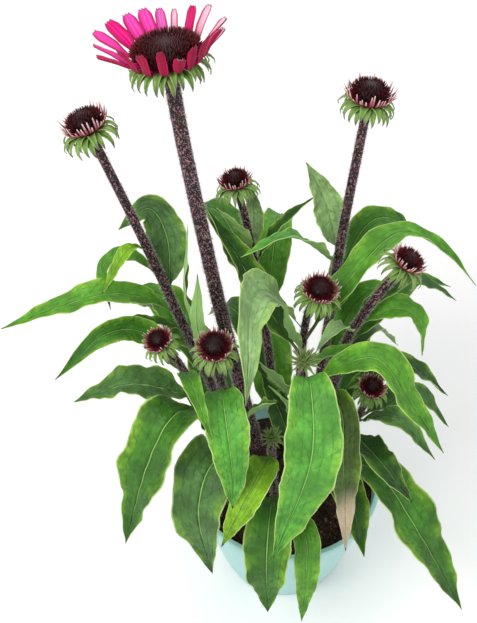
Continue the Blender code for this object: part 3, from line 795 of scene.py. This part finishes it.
def leafBlade(points, width, roll, tone, draw, extra):
    # draw repeats the CAD leaf's own waves, and extra adds what only this finer leaf has
    look = leafLook
    rows = look["rows"]
    across = np.array([-place for place in look["columns"][:0:-1]] + list(look["columns"]))
    route = smoothRoute(points, rows)
    t = np.linspace(0, 1, rows)
    turn = math.radians(roll) * np.clip(t / 0.3, 0, 1)
    twist = math.radians(extra.uniform(-look["twist"], look["twist"]))
    turn = turn + twist * t * np.sin(t * extra.uniform(3, 6))
    side, normal = rolled(*sidesOf(route), turn)
    blade = np.clip((t - look["stalkShare"]) / (1 - look["stalkShare"]), 0, 1)
    half = width * 0.5 * np.sin(math.pi * blade**0.7)
    phases = [draw.uniform(0, 2 * math.pi) for _ in (0, 1)]
    wobble = [extra.uniform(0, 2 * math.pi) for _ in range(6)]
    lifts = np.zeros((rows, len(across)))
    off = np.abs(across)
    vein = sum(np.exp(-(((off - place) / softness) ** 2)) for place, softness in look["veins"])
    ripples, rippleHeight = look["ripples"]
    for column, place in enumerate(across):
        phase = phases[0] if place < 0 else phases[1]
        wave = look["waveHeight"] * 2 * half * np.sin(2 * math.pi * look["waves"] * t + phase)
        ripple = rippleHeight * half * np.sin(2 * math.pi * ripples * t + wobble[0] + phase)
        fold = half * math.tan(look["fold"]) * off[column]
        lift = fold + wave * off[column] ** 1.5 + ripple * off[column] ** 3
        blister = 0.6 + 0.4 * np.sin(2 * math.pi * look["blisters"] * t + wobble[column % 6])
        quilt = look["quilt"] * width * (blister - vein[column] * 1.3)
        lifts[:, column] = lift + quilt * np.clip(half / 4, 0, 1)
    frill = 1
    for (notches, depth), start in zip(look["frill"], wobble[2:]):
        frill = frill + depth * np.sin(2 * math.pi * notches * t + start)
    stalk = look["stalkWidth"] / 2 * (1 - 0.25 * np.clip(t / 0.1, 0, 1))
    half = np.maximum(half * frill, np.where(t < 0.5, stalk, look["tipWidth"] / 2))
    chance = leafPaint["witheredChance"] if tone == look["witheredTone"] else extra.random() * 0.95
    skins = ("leafTop", "leafUnder")
    return strip(route, side, normal, across, half, lifts, chance, tones[tone], look["thickness"], skins)


def stemTube(route, radii):
    # a cylinder cut across, then bent along the route
    rows = len(route)
    pick()
    bpy.ops.mesh.primitive_cylinder_add(vertices=stemLook["sides"], radius=1, depth=2)
    tube = bpy.context.object
    cutAcross(tube, rows - 2, 1)
    bpy.ops.object.mode_set(mode="OBJECT")
    side, normal = sidesOf(route, (0, 1.0, 0))
    ribs, ribHeight = stemLook["ribs"]
    for vert in tube.data.vertices:
        row = round((vert.co.z + 1) / 2 * (rows - 1))
        swell = 1 + ribHeight * math.sin(ribs * math.atan2(vert.co.y, vert.co.x) + row * 0.1)
        offset = normal[row] * vert.co.x + side[row] * vert.co.y
        vert.co = Vector(route[row] + offset * radii[row] * swell) * mm
    tube.data.shade_smooth()
    return tube


def hairsOn(route, radii, count, draw):
    side, normal = sidesOf(route, (0, 1.0, 0))
    rows = len(route)
    rowsAt = np.array([draw.uniform(stemLook["hairStart"], 1) for _ in range(count)]) * (rows - 1.001)
    angles = np.array([draw.uniform(0, 2 * math.pi) for _ in range(count)])
    low = rowsAt.astype(int)
    share = (rowsAt - low)[:, None]
    middle = route[low] * (1 - share) + route[low + 1] * share
    out = normal[low] * np.cos(angles)[:, None] + side[low] * np.sin(angles)[:, None]
    places = middle + out * (radii[low][:, None] * 0.98)
    lean = np.array([[draw.uniform(*limits) for limits in stemLook["hairLean"]] for _ in range(count)])
    lengths = np.array([draw.uniform(*stemLook["hairLength"]) for _ in range(count)])
    scales = np.stack([lengths * 0 + 1, lengths * 0 + 1, lengths], axis=-1)
    paint = [(0.5, draw.random()) for _ in range(count)]
    return scatter(hair, places, out + lean, scales, angles, paint, [shade("ffffff")] * count, "bristle")


def stemEnd(plan):
    x, y = plan["foot"]
    coarse = smoothRoute([(x, y, stemLook["soilTop"]), *plan["route"]], 6)
    coarse = np.vstack([(x, y, stemLook["foot"]), coarse])
    last = coarse[-1] - coarse[-2]
    return coarse, Vector(coarse[-1]) * mm, Vector(last / np.linalg.norm(last))


def leafyStem(name):
    plan = stems[name]
    draw = random.Random(name)
    extra = random.Random(name + "fine")
    coarse, place, axis = stemEnd(plan)
    blades = []
    for height, midrib, width, roll, tone in plan["leaves"]:
        root = [np.interp(height, coarse[:, 2], coarse[:, axisIndex]) for axisIndex in range(3)]
        blades.append(leafBlade([root, *midrib], width, roll, tone, draw, extra))
    leaves = joined("leaves_" + name, blades)
    hand(leaves, "leaf", "leafy_stem_" + name)
    x, y = plan["foot"]
    fine = smoothRoute([(x, y, stemLook["soilTop"]), *plan["route"]], stemLook["rows"])
    fine = np.vstack([(x, y, stemLook["foot"]), fine])
    radii = np.interp(fine[:, 2], (stemLook["foot"], fine[-1, 2]), plan["radius"])
    tube = stemTube(fine, radii)
    addPaint(tube, (0, 0.5, 0.5), shade("33301a"))
    tube.data.materials.append(finish["stem"])
    length = fine[-1, 2] - fine[0, 2]
    hairs = hairsOn(fine, radii, int(length * stemLook["hairsPerMm"] * plan["radius"][1] / 4), extra)
    stem = joined("stem_" + name, [tube, hairs])
    hand(stem, "stem", "leafy_stem_" + name)
    return place, axis


bractTones = {
    "bloom": ("3f6a1e", "4c7a28", "5a8234", "38601e"),
    "bud": ("6b9a40", "7da654", "8fb468", "5c8638"),
}
# Each head: its kind, the radius of its cone and the reach of its bracts
heads = {
    "open_bloom": ("bloom", 19, 24),
    "left_bud": ("bud", 11.5, 18.5),
    "right_bud": ("bud", 11.5, 17.5),
    "back_head": ("bud", 8.5, 15),
    "right_head": ("bud", 9, 16.5),
    "middle_head": ("bud", 9, 16),
    "left_head": ("bud", 7, 13),
    "front_head": ("bud", 9, 16),
    "centre_tuft": ("tuft", 4, 12),
    "lower_head": ("bud", 7, 13),
    "lower_tuft": ("tuft", 3.2, 9),
}
headLook = {
    "bloom": {
        "height": 0.62,  # of the cone, as a share of its radius
        "florets": 62,  # for each mm of the radius
        "spike": 1.7,
        "length": 6.0,
        "width": 0.72,
        "bracts": 13,
        "step": 20,  # petals that the narrow roots leave room for
    },
    "bud": {
        "height": 1.1,
        "florets": 38,
        "spike": 1.4,
        "length": 4.2,
        "width": 0.62,
        "bracts": 9,
    },
    "gap": 0.3,
    "collar": 1.2,
    "tips": {"bloom": "8c5a66", "left_bud": "5e4a50", "right_bud": "5e4a50", "front_head": "7f8794"},
}
# angle in degrees, reach of the tip, rise, width and tone of each petal
petals = [
    (5, 33, 12, 4.5, "pale"),
    (21, 36, 13, 4.5, "pale"),
    (42, 34, 17, 5.5, "pale"),
    (60, 31, 16, 5.5, "rose"),
    (81, 30, 14, 4, "pale"),
    (97, 31, 15, 6, "violet"),
    (113, 33, 16, 8, "hot"),
    (130, 34, 16, 8.5, "hot"),
    (148, 37, 16, 9, "deep"),
    (167, 39, 16, 9, "hot"),
    (186, 37, 15, 7.5, "hot"),
    (202, 37, 13, 7.5, "rose"),
    (222, 29, 18, 7, "rose"),
    (244, 25, 16, 6, "rose"),
    (270, 23.5, 17, 5, "rose"),
    (292, 27, 12, 6.5, "pale"),
    (312, 27, 16, 6, "rose"),
    (331, 29, 18, 6.5, "rose"),
    (349, 33, 17, 5.5, "pale"),
]
petalTones = {
    "hot": shade("ff48b8"),
    "deep": shade("ee0a86"),
    "violet": shade("e66cc6"),
    "pale": shade("f3c9dc"),
    "rose": shade("d81c72"),
}


def ringBlade(angle, path, widths, tone, draw, skin, look):
    # one small blade round the Z axis, from a path of (distance, height)
    out = np.array([math.cos(angle), math.sin(angle), 0])
    rows = 9
    route = smoothRoute([out * distance + (0, 0, height) for distance, height in path], rows)
    side, normal = sidesOf(route)
    across = np.linspace(-1, 1, 5)
    t = np.linspace(0, 1, rows)
    half = np.interp(t, np.linspace(0, 1, len(widths)), widths) / 2
    lifts = look["fold"] * half[:, None] * across**2
    return strip(route, side, normal, across, half, lifts, draw.random(), tone, look["thickness"], (skin,))


def settle(thing, height):
    # lifts a new primitive to its place in mm, and keeps that place in its mesh
    bpy.ops.transform.translate(value=(0, 0, height * mm))
    bpy.ops.object.transform_apply(location=True, rotation=True, scale=True)
    return thing


bractLook = {
    "rows": 3,
    "width": 1.45,  # of a bract, as a share of its room
    "widths": (0.7, 1.2, 1.0, 0.55),  # along a bract
    "tipWidth": 0.15,
    "shorter": 0.14,  # each row lower is shorter by this share
    "drop": (0.45, 0.33),  # of the first row, and what each lower one adds
    "stretch": (0.8, 1.12),
    "jitter": 0.13,
    "fold": 0.35,
    "thickness": 0.4,
    "rim": 0.72,  # of the cup, as a share of the cone's radius
    "cupGreen": shade("7d9c52"),
}


def bractCup(name, kind, radius, reach, stemRadius):
    draw = random.Random(name + "bracts")
    look = bractLook
    gap = headLook["gap"]
    top = gap + 0.2 * radius + headLook["collar"]
    rim = look["rim"] * radius
    pick()
    bpy.ops.mesh.primitive_cone_add(vertices=24, radius1=(stemRadius + 0.8) * mm, radius2=rim * mm,
                                    depth=(top - gap) * mm)
    cup = settle(bpy.context.object, (top + gap) / 2)
    useModifier(cup, "BEVEL", width=0.5 * mm, segments=2)
    addPaint(cup, (0.1, 0.5, 0.3), look["cupGreen"])
    cup.data.materials.append(finish["bract"])
    pieces = [cup]
    count = headLook[kind]["bracts"]
    width = 2 * math.pi * rim / (2 * count) * look["width"]
    widths = [share * width for share in look["widths"]] + [look["tipWidth"]]
    firstDrop, moreDrop = look["drop"]
    for row in range(look["rows"]):
        length = (reach - rim) * (1 - look["shorter"] * row)
        drop = length * (firstDrop + moreDrop * row)
        root = top - 0.9 - 0.35 * row
        for index in range(count):
            turn = draw.uniform(-look["jitter"], look["jitter"])
            angle = 2 * math.pi * (0.25 + 0.37 * row + index + turn) / count
            reachNow = length * draw.uniform(*look["stretch"])
            arch = (rim + 0.5 * reachNow, root + 0.14 * length * (1 - row))
            hook = (rim + reachNow * 0.97, root - drop * 0.62)
            tip = (rim + reachNow * draw.uniform(0.84, 1.0), root - drop * draw.uniform(1.0, 1.25))
            path = [(0.5 * rim, root), arch, hook, tip]
            tone = shade(draw.choice(bractTones[kind]))
            pieces.append(ringBlade(angle, path, widths, tone, draw, "bract", look))
    return joined(name + "_bracts_fine", pieces), top + gap


def collar(radius, base, skin, tone):
    pick()
    bpy.ops.mesh.primitive_cylinder_add(vertices=32, radius=radius * mm, depth=headLook["collar"] * mm)
    disc = settle(bpy.context.object, base + headLook["collar"] / 2)
    useModifier(disc, "BEVEL", width=0.3 * mm, segments=2)
    addPaint(disc, (0.1, 0.5, 0.5), tone)
    disc.data.materials.append(finish[skin])
    return disc


petalLook = {
    "rows": 26,
    "columns": 13,
    "twist": 16,  # degrees either way
    "shares": (0, 0.3, 0.6, 0.85, 1),  # where the width changes along a petal
    "tipWidth": 0.35,  # as a share of half the width
    "channel": (0.2, 0.45),  # how hollow a petal is
    "paleChannel": 0.75,
    "furrow": 0.12,
    "wave": 0.5,
    "notch": 0.8,
    "shoulder": 1.1,
    "thickness": 0.3,
}


def petalBlade(plan, root, height, narrow, draw):
    look = petalLook
    degrees, reach, rise, width, tone = plan
    angle = math.radians(degrees)
    out = np.array([math.cos(angle), math.sin(angle), 0])
    bend = root + 6
    path = [(root - 3, 0), (bend, 1.2), (bend + 0.45 * (reach - bend), 0.5 * rise), (reach, rise)]
    route = smoothRoute([out * distance + (0, 0, height + lift) for distance, lift in path], look["rows"])
    t = np.linspace(0, 1, look["rows"])
    side, normal = sidesOf(route)
    side, normal = rolled(side, normal, math.radians(draw.uniform(-look["twist"], look["twist"])) * t)
    across = np.linspace(-1, 1, look["columns"])
    half = np.interp(t, look["shares"], (narrow, narrow, width / 2, width / 2, look["tipWidth"] * width))
    half = half * (1 + 0.04 * np.sin(9 * t + draw.uniform(0, 6)))
    channel = look["paleChannel"] if tone == "pale" else draw.uniform(*look["channel"])
    furrow = look["furrow"] * np.cos(across * math.pi * 3)
    hollow = half[:, None] * (channel * across**2 + furrow * t[:, None])
    lifts = hollow + look["wave"] * np.sin(7 * t + draw.uniform(0, 6))[:, None] * across
    teeth = look["notch"] * np.abs(np.sin(across * math.pi * 1.5)) + look["shoulder"] * across**4
    push = -teeth * np.clip((t - 0.8) / 0.2, 0, 1)[:, None] ** 2
    chance = draw.random()
    tone = petalTones[tone]
    skins = ("petalTop", "petalUnder")
    return strip(route, side, normal, across, half, lifts, chance, tone, look["thickness"], skins, push)


stubLook = {
    "count": 42,
    "reach": (1.16, 1.34),  # shares of the cone's radius
    "rise": (0.45, 0.95),
    "jitter": 0.25,
    "width": 0.75,  # as a share of a stub's room
    "widths": (0.6, 1, 0.9, 0.3),  # along a stub
    "fold": 0.5,
    "thickness": 0.3,
    "collar": shade("8a1230"),
    "tones": ("8f1c38", "b9506a", "6e1228", "a3283f"),
}


def rayRing(name, kind, radius, base):
    draw = random.Random(name + "rays")
    ring = 0.75 * radius
    middle = base + headLook["collar"] / 2
    top = base + headLook["collar"] + headLook["gap"]
    if kind == "bloom":
        pieces = [collar(ring, base, "petalUnder", petalTones["rose"])]
        narrow = 0.4 * 2 * math.pi * ring / headLook["bloom"]["step"]
        pieces += [petalBlade(plan, ring, middle, narrow, draw) for plan in petals]
        return joined(name + "_petals_fine", pieces), top
    look = stubLook
    pieces = [collar(ring, base, "stub", look["collar"])]
    width = 2 * math.pi * radius / look["count"] * look["width"]
    widths = [share * width for share in look["widths"]]
    for index in range(look["count"]):
        angle = 2 * math.pi * (index + draw.uniform(-look["jitter"], look["jitter"])) / look["count"]
        reach = radius * draw.uniform(*look["reach"]) + 0.7
        rise = radius * draw.uniform(*look["rise"])
        bend = (1.06 * radius + 0.5, middle + 0.25 * radius)
        path = [(0.6 * radius, middle - 0.2), bend, (reach, middle + rise)]
        tone = shade(draw.choice(look["tones"]))
        pieces.append(ringBlade(angle, path, widths, tone, draw, "stub", look))
    return joined(name + "_rays_fine", pieces), top


coneLook = {
    "dimple": 0.16,  # depth, as a share of the cone's height
    "dimpleReach": 0.3,  # as a share of the radius
    "side": 0.34,  # height of the lowest florets, as a share of the cone's height
    "lean": (6, 66),  # degrees, from the top to the sides
    "leanJitter": 7,
    "turnJitter": 0.12,
    "lengths": (0.88, 1.1),
    "inside": 1.2,  # the core stays this far below the florets, mm
}


def floretCone(name, kind, radius, base):
    draw = random.Random(name + "cone")
    look = coneLook
    own = headLook[kind]
    radius = radius - 0.7 * own["spike"]
    height = own["height"] * radius
    count = int(own["florets"] * radius)
    share = (np.arange(count) + 0.5) / count
    rise = height * (1 - share) ** 0.9 + look["side"] * height * share
    reach = radius * np.sin(math.pi / 2 * np.minimum(1, 1.12 * share**0.55))
    rise = rise - look["dimple"] * height * np.exp(-((reach / (look["dimpleReach"] * radius)) ** 2))

    def spread(low, high):
        return np.array([draw.uniform(low, high) for _ in range(count)])

    angle = np.arange(count) * goldenAngle + spread(-look["turnJitter"], look["turnJitter"])
    lean = look["lean"][0] + look["lean"][1] * share + spread(-look["leanJitter"], look["leanJitter"])
    lean = np.radians(lean)
    axes = np.column_stack([np.cos(angle) * np.sin(lean), np.sin(angle) * np.sin(lean), np.cos(lean) + 0.15])
    length = own["length"] * (0.62 + 0.38 * share) * spread(*look["lengths"])
    places = np.column_stack([np.cos(angle) * reach, np.sin(angle) * reach, base + rise])
    places = places - axes * (length * 0.55)[:, None]
    thick = own["width"] * (0.7 + 0.3 * share)
    scales = np.column_stack([thick, thick, length])
    paint = [(place, draw.random()) for place in share]
    tip = shade(headLook["tips"].get(name, headLook["tips"]["bloom"]))
    spikes = scatter(floret, places, axes, scales, angle, paint, [tip] * count, "floret")
    pick()
    bpy.ops.mesh.primitive_uv_sphere_add(segments=32, ring_count=18, radius=1)
    core = bpy.context.object
    inner = radius - look["inside"]
    for vert in core.data.vertices:
        x, y, z = vert.co
        lift = z * (height - look["inside"]) if z > 0 else z * look["side"] * height
        vert.co = Vector((x * inner, y * inner, base + 0.36 * height + lift * 0.62)) * mm
    addPaint(core, (0.2, 0.8, 0.5), tip)
    core.data.materials.append(finish["floret"])
    core.data.shade_smooth()
    return joined(name + "_cone_fine", [spikes, core])


tuftLook = {
    "rows": ((7, 1.25), (10, 0.9), (12, 0.5), (12, 0.12)),  # count and rise in radians, from the top
    "lower": 0.14,
    "lengths": (0.8, 1.06),
    "riseJitter": 0.12,
    "turnJitter": 0.2,
    "widths": (1.2, 1.5, 1.1, 0.2),
    "fold": 0.4,
    "thickness": 0.3,
    "core": shade("5a6b34"),
    "tones": ("6f8f46", "86a45a", "8a7a4a", "5f7d3a"),
}


def tuft(name, coreRadius, reach):
    draw = random.Random(name + "tuft")
    look = tuftLook
    top = headLook["gap"] + coreRadius
    pick()
    bpy.ops.mesh.primitive_uv_sphere_add(segments=20, ring_count=12, radius=coreRadius * 0.8 * mm)
    core = settle(bpy.context.object, headLook["gap"] + coreRadius * 0.7)
    addPaint(core, (0.3, 0.5, 0.5), look["core"])
    core.data.materials.append(finish["bract"])
    pieces = [core]
    start = 0.3 * coreRadius
    for row, (count, lean) in enumerate(look["rows"]):
        height = top * (0.75 - look["lower"] * row)
        for index in range(count):
            length = (reach - start) * draw.uniform(*look["lengths"])
            tilt = lean + draw.uniform(-look["riseJitter"], look["riseJitter"])
            out = start + length * math.cos(tilt)
            rise = height + length * math.sin(tilt)
            middle = (start + 0.55 * (out - start), height + 0.68 * (rise - height))
            turn = draw.uniform(-look["turnJitter"], look["turnJitter"])
            angle = 2 * math.pi * (0.4 * row + index + turn) / count
            tone = shade(draw.choice(look["tones"]))
            path = [(start, height), middle, (out, rise)]
            pieces.append(ringBlade(angle, path, look["widths"], tone, draw, "bract", look))
    return joined(name + "_bracts_fine", pieces)


for name in stems:
    place, axis = leafyStem(name)
    kind, radius, reach = heads[name]
    if kind == "tuft":
        piece = tuft(name, radius, reach)
        seat(piece, place, axis)
        hand(piece, "bract", name + "_bracts")
        continue
    piece, base = bractCup(name, kind, radius, reach, stems[name]["radius"][1])
    seat(piece, place, axis)
    hand(piece, "bract", name + "_bracts")
    piece, base = rayRing(name, kind, radius, base)
    seat(piece, place, axis)
    if kind == "bloom":
        hand(piece, "petal", name + "_petals")
    else:
        hand(piece, "ray_stub", name + "_rays")
    piece = floretCone(name, kind, radius, base)
    seat(piece, place, axis)
    hand(piece, "cone", name + "_cone")
    print("stem and head made:", name)

# The pot's walls and the soil are lists of (radius, height) in mm
potLook = {
    "sides": 112,
    "wall": [(39, 0), (41.6, 0.5), (43, 3), (49, 20), (67, 90)],
    "lip": [(68.2, 95.4), (69.4, 95.7), (70, 96.4), (70, 98.9), (69.8, 99.6), (69.2, 100), (67.4, 100)],
    "lipInside": [(66.7, 99.6), (66.4, 98.6)],
    "inside": [(66.3, 95), (65.2, 90), (47.2, 20), (42, 3)],
    "smoothBelow": 35,  # degrees between faces
}
soilLook = {
    "low": (42.9, 10),
    "edge": (64.3, 88),
    "crown": 93,
    "rings": 30,
    "clods": ((90, 1.6), (260, 1.0), (700, 0.5)),  # size and height of the roughness
    "crumb": {"count": 900, "sizes": (0.7, 2.3)},
    "fibre": {"count": 170, "sizes": (0.18, 0.3), "length": (4, 11), "bend": 14},
}


def makePot():
    # a filled circle drawn up the outer wall, over the lip and down inside
    pick()
    profile = potLook["wall"] + potLook["lip"] + potLook["lipInside"] + potLook["inside"]
    bpy.ops.mesh.primitive_circle_add(vertices=potLook["sides"], radius=profile[0][0] * mm, fill_type="NGON")
    pot = bpy.context.object
    bpy.ops.object.mode_set(mode="EDIT")
    bpy.ops.mesh.select_mode(type="FACE")
    bpy.ops.mesh.select_all(action="SELECT")
    for (oldRadius, oldHeight), (radius, height) in zip(profile, profile[1:]):
        bpy.ops.mesh.extrude_region_move(TRANSFORM_OT_translate={"value": (0, 0, (height - oldHeight) * mm)})
        bpy.ops.transform.resize(value=(radius / oldRadius, radius / oldRadius, 1))
    bpy.ops.mesh.select_mode(type="EDGE")
    bpy.ops.mesh.select_all(action="DESELECT")
    bpy.ops.mesh.select_non_manifold()
    bpy.ops.mesh.edge_face_add()
    bpy.ops.mesh.select_all(action="SELECT")
    bpy.ops.mesh.normals_make_consistent(inside=False)
    bpy.ops.object.mode_set(mode="OBJECT")
    bpy.ops.object.shade_smooth_by_angle(angle=math.radians(potLook["smoothBelow"]))
    pot.name = "pot_fine"
    addPaint(pot, (0.5, 0.5, 0.5), shade("c2e6e3"))
    pot.data.materials.append(finish["pot"])
    hand(pot, "pot", "pot")


def soilBed():
    (lowRadius, lowHeight), (edgeRadius, edgeHeight) = soilLook["low"], soilLook["edge"]
    pick()
    bpy.ops.mesh.primitive_cone_add(vertices=96, radius1=lowRadius * mm, radius2=edgeRadius * mm,
                                    depth=(edgeHeight - lowHeight) * mm)
    bed = settle(bpy.context.object, (edgeHeight + lowHeight) / 2)
    bpy.ops.object.mode_set(mode="EDIT")
    bpy.ops.mesh.select_mode(type="FACE")
    bpy.ops.mesh.select_all(action="DESELECT")
    bpy.ops.object.mode_set(mode="OBJECT")
    for face in bed.data.polygons:
        face.select = face.normal.z > 0.9
    bpy.ops.object.mode_set(mode="EDIT")
    for _ in range(soilLook["rings"]):
        bpy.ops.mesh.inset(thickness=(edgeRadius - 1) / soilLook["rings"] * mm)
    bpy.ops.object.mode_set(mode="OBJECT")
    useModifier(bed, "SUBSURF", levels=1, render_levels=1, subdivision_type="SIMPLE")
    for vert in bed.data.vertices:
        if vert.co.z < (edgeHeight - 0.5) * mm:
            continue
        out = math.hypot(vert.co.x, vert.co.y) / (edgeRadius * mm)
        rise = (soilLook["crown"] - edgeHeight) * (1 - out**2)
        rough = sum(noise.noise(vert.co * scale) * clod for scale, clod in soilLook["clods"])
        vert.co.z += (rise + rough * min(1, (1 - out) * 12)) * mm
    addPaint(bed, (0.5, 0.5, 0.5), shade("3d2a20"))
    bed.data.materials.append(finish["soil"])
    bed.data.shade_smooth()
    return bed


def crumbSource():
    pick()
    bpy.ops.mesh.primitive_ico_sphere_add(subdivisions=2, radius=1)
    source = bpy.context.object
    for vert in source.data.vertices:
        vert.co *= 0.8 + 0.5 * noise.noise(vert.co * 1.7)
    return source


def fibreSource():
    source = spike("fibre", 4, 6, [(0, 1), (1, 0.4)])
    for vert in source.data.vertices:
        vert.co.x += soilLook["fibre"]["bend"] * vert.co.z * (1 - vert.co.z)
    return source


def makeSoil():
    edgeRadius, edgeHeight = soilLook["edge"]
    pieces = [soilBed()]
    draw = random.Random("crumbs")
    for kind, source in (("crumb", crumbSource()), ("fibre", fibreSource())):
        look = soilLook[kind]
        flat = kind == "fibre"
        source.name = kind
        places, axes, scales, spins, paint = [], [], [], [], []
        for _ in range(look["count"]):
            out = edgeRadius * math.sqrt(draw.random()) * 0.97
            angle = draw.uniform(0, 2 * math.pi)
            height = edgeHeight + (soilLook["crown"] - edgeHeight) * (1 - (out / edgeRadius) ** 2)
            size = draw.uniform(*look["sizes"])
            places.append((out * math.cos(angle), out * math.sin(angle), height + draw.uniform(-0.3, 0.5)))
            lean = (-0.15, 0.25) if flat else (0.2, 1)
            axes.append((draw.uniform(-1, 1), draw.uniform(-1, 1), draw.uniform(*lean)))
            if flat:
                scales.append((size, size, draw.uniform(*look["length"])))
            else:
                scales.append((size, size * draw.uniform(0.6, 1), size * draw.uniform(0.5, 1.6)))
            spins.append(draw.uniform(0, 6))
            paint.append((0.5, draw.uniform(0.85, 1) if flat else draw.random() ** 1.6))
        places, axes, spins = np.array(places), np.array(axes), np.array(spins)
        tone = [shade("6e4a30")] * look["count"]
        pieces.append(scatter(source, places, axes, scales, spins, paint, tone, "crumb"))
        bpy.data.objects.remove(source)
    soil = joined("soil_fine", pieces)
    hand(soil, "soil", "soil")


makePot()
makeSoil()
for source in (hair, floret):
    bpy.data.objects.remove(source)
print("pot and soil made")

# The view is the photograph's, and the light is a soft studio's
view = {
    "place": (-0.0343, -0.5143, 0.8289),
    "lookDown": 47,  # degrees below the horizon
    "focalPixels": 1200,  # for a picture of 477 x 623
    "longSide": 623,
    "sensor": 36,
}
light = {
    "key": ((-0.75, -0.85, 1.5), 0.8, 19, (1.0, 0.985, 0.96)),  # place, size, watts, colour
    "fill": ((1.1, -0.5, 0.9), 1.4, 4, (0.95, 0.98, 1.0)),
    "rear": ((0.2, 1.2, 1.2), 1.2, 6, (1.0, 1.0, 1.0)),
    "sky": 0.68,
    "aim": (0, 0, 0.25),
    "floorSize": 6,
}


def layFloor():
    pick()
    bpy.ops.mesh.primitive_plane_add(size=light["floorSize"])
    floor = bpy.context.object
    floor.name = "floor"
    made = Finish("floor paper", Specular_IOR_Level=0.1)
    grain = made.spot.noise(6, 3)
    colour = grain.mix("f7f7f7", "f2f2f2")
    floor.data.materials.append(made.feed(colour, grain * 0.1 + 0.85, grain, 0.1))


def setLights():
    for name in ("key", "fill", "rear"):
        spot, size, watts, colour = light[name]
        pick()
        bpy.ops.object.light_add(type="AREA", location=spot)
        lamp = bpy.context.object
        lamp.name = name
        lamp.data.size = size
        lamp.data.energy = watts
        lamp.data.color = colour
        aim = Vector(light["aim"]) - Vector(spot)
        lamp.rotation_euler = aim.to_track_quat("-Z", "Y").to_euler()
    world = bpy.data.worlds.new("studio")
    world.use_nodes = True
    world.node_tree.nodes["Background"].inputs["Color"].default_value = (1, 1, 1, 1)
    world.node_tree.nodes["Background"].inputs["Strength"].default_value = light["sky"]
    bpy.context.scene.world = world
    bpy.context.scene.view_settings.view_transform = "Standard"


def setCamera():
    pick()
    turn = (math.radians(90 - view["lookDown"]), 0, 0)
    bpy.ops.object.camera_add(location=view["place"], rotation=turn)
    camera = bpy.context.object
    camera.data.sensor_width = view["sensor"]
    camera.data.lens = view["focalPixels"] * view["sensor"] / view["longSide"]
    bpy.context.scene.camera = camera


layFloor()
setLights()
setCamera()
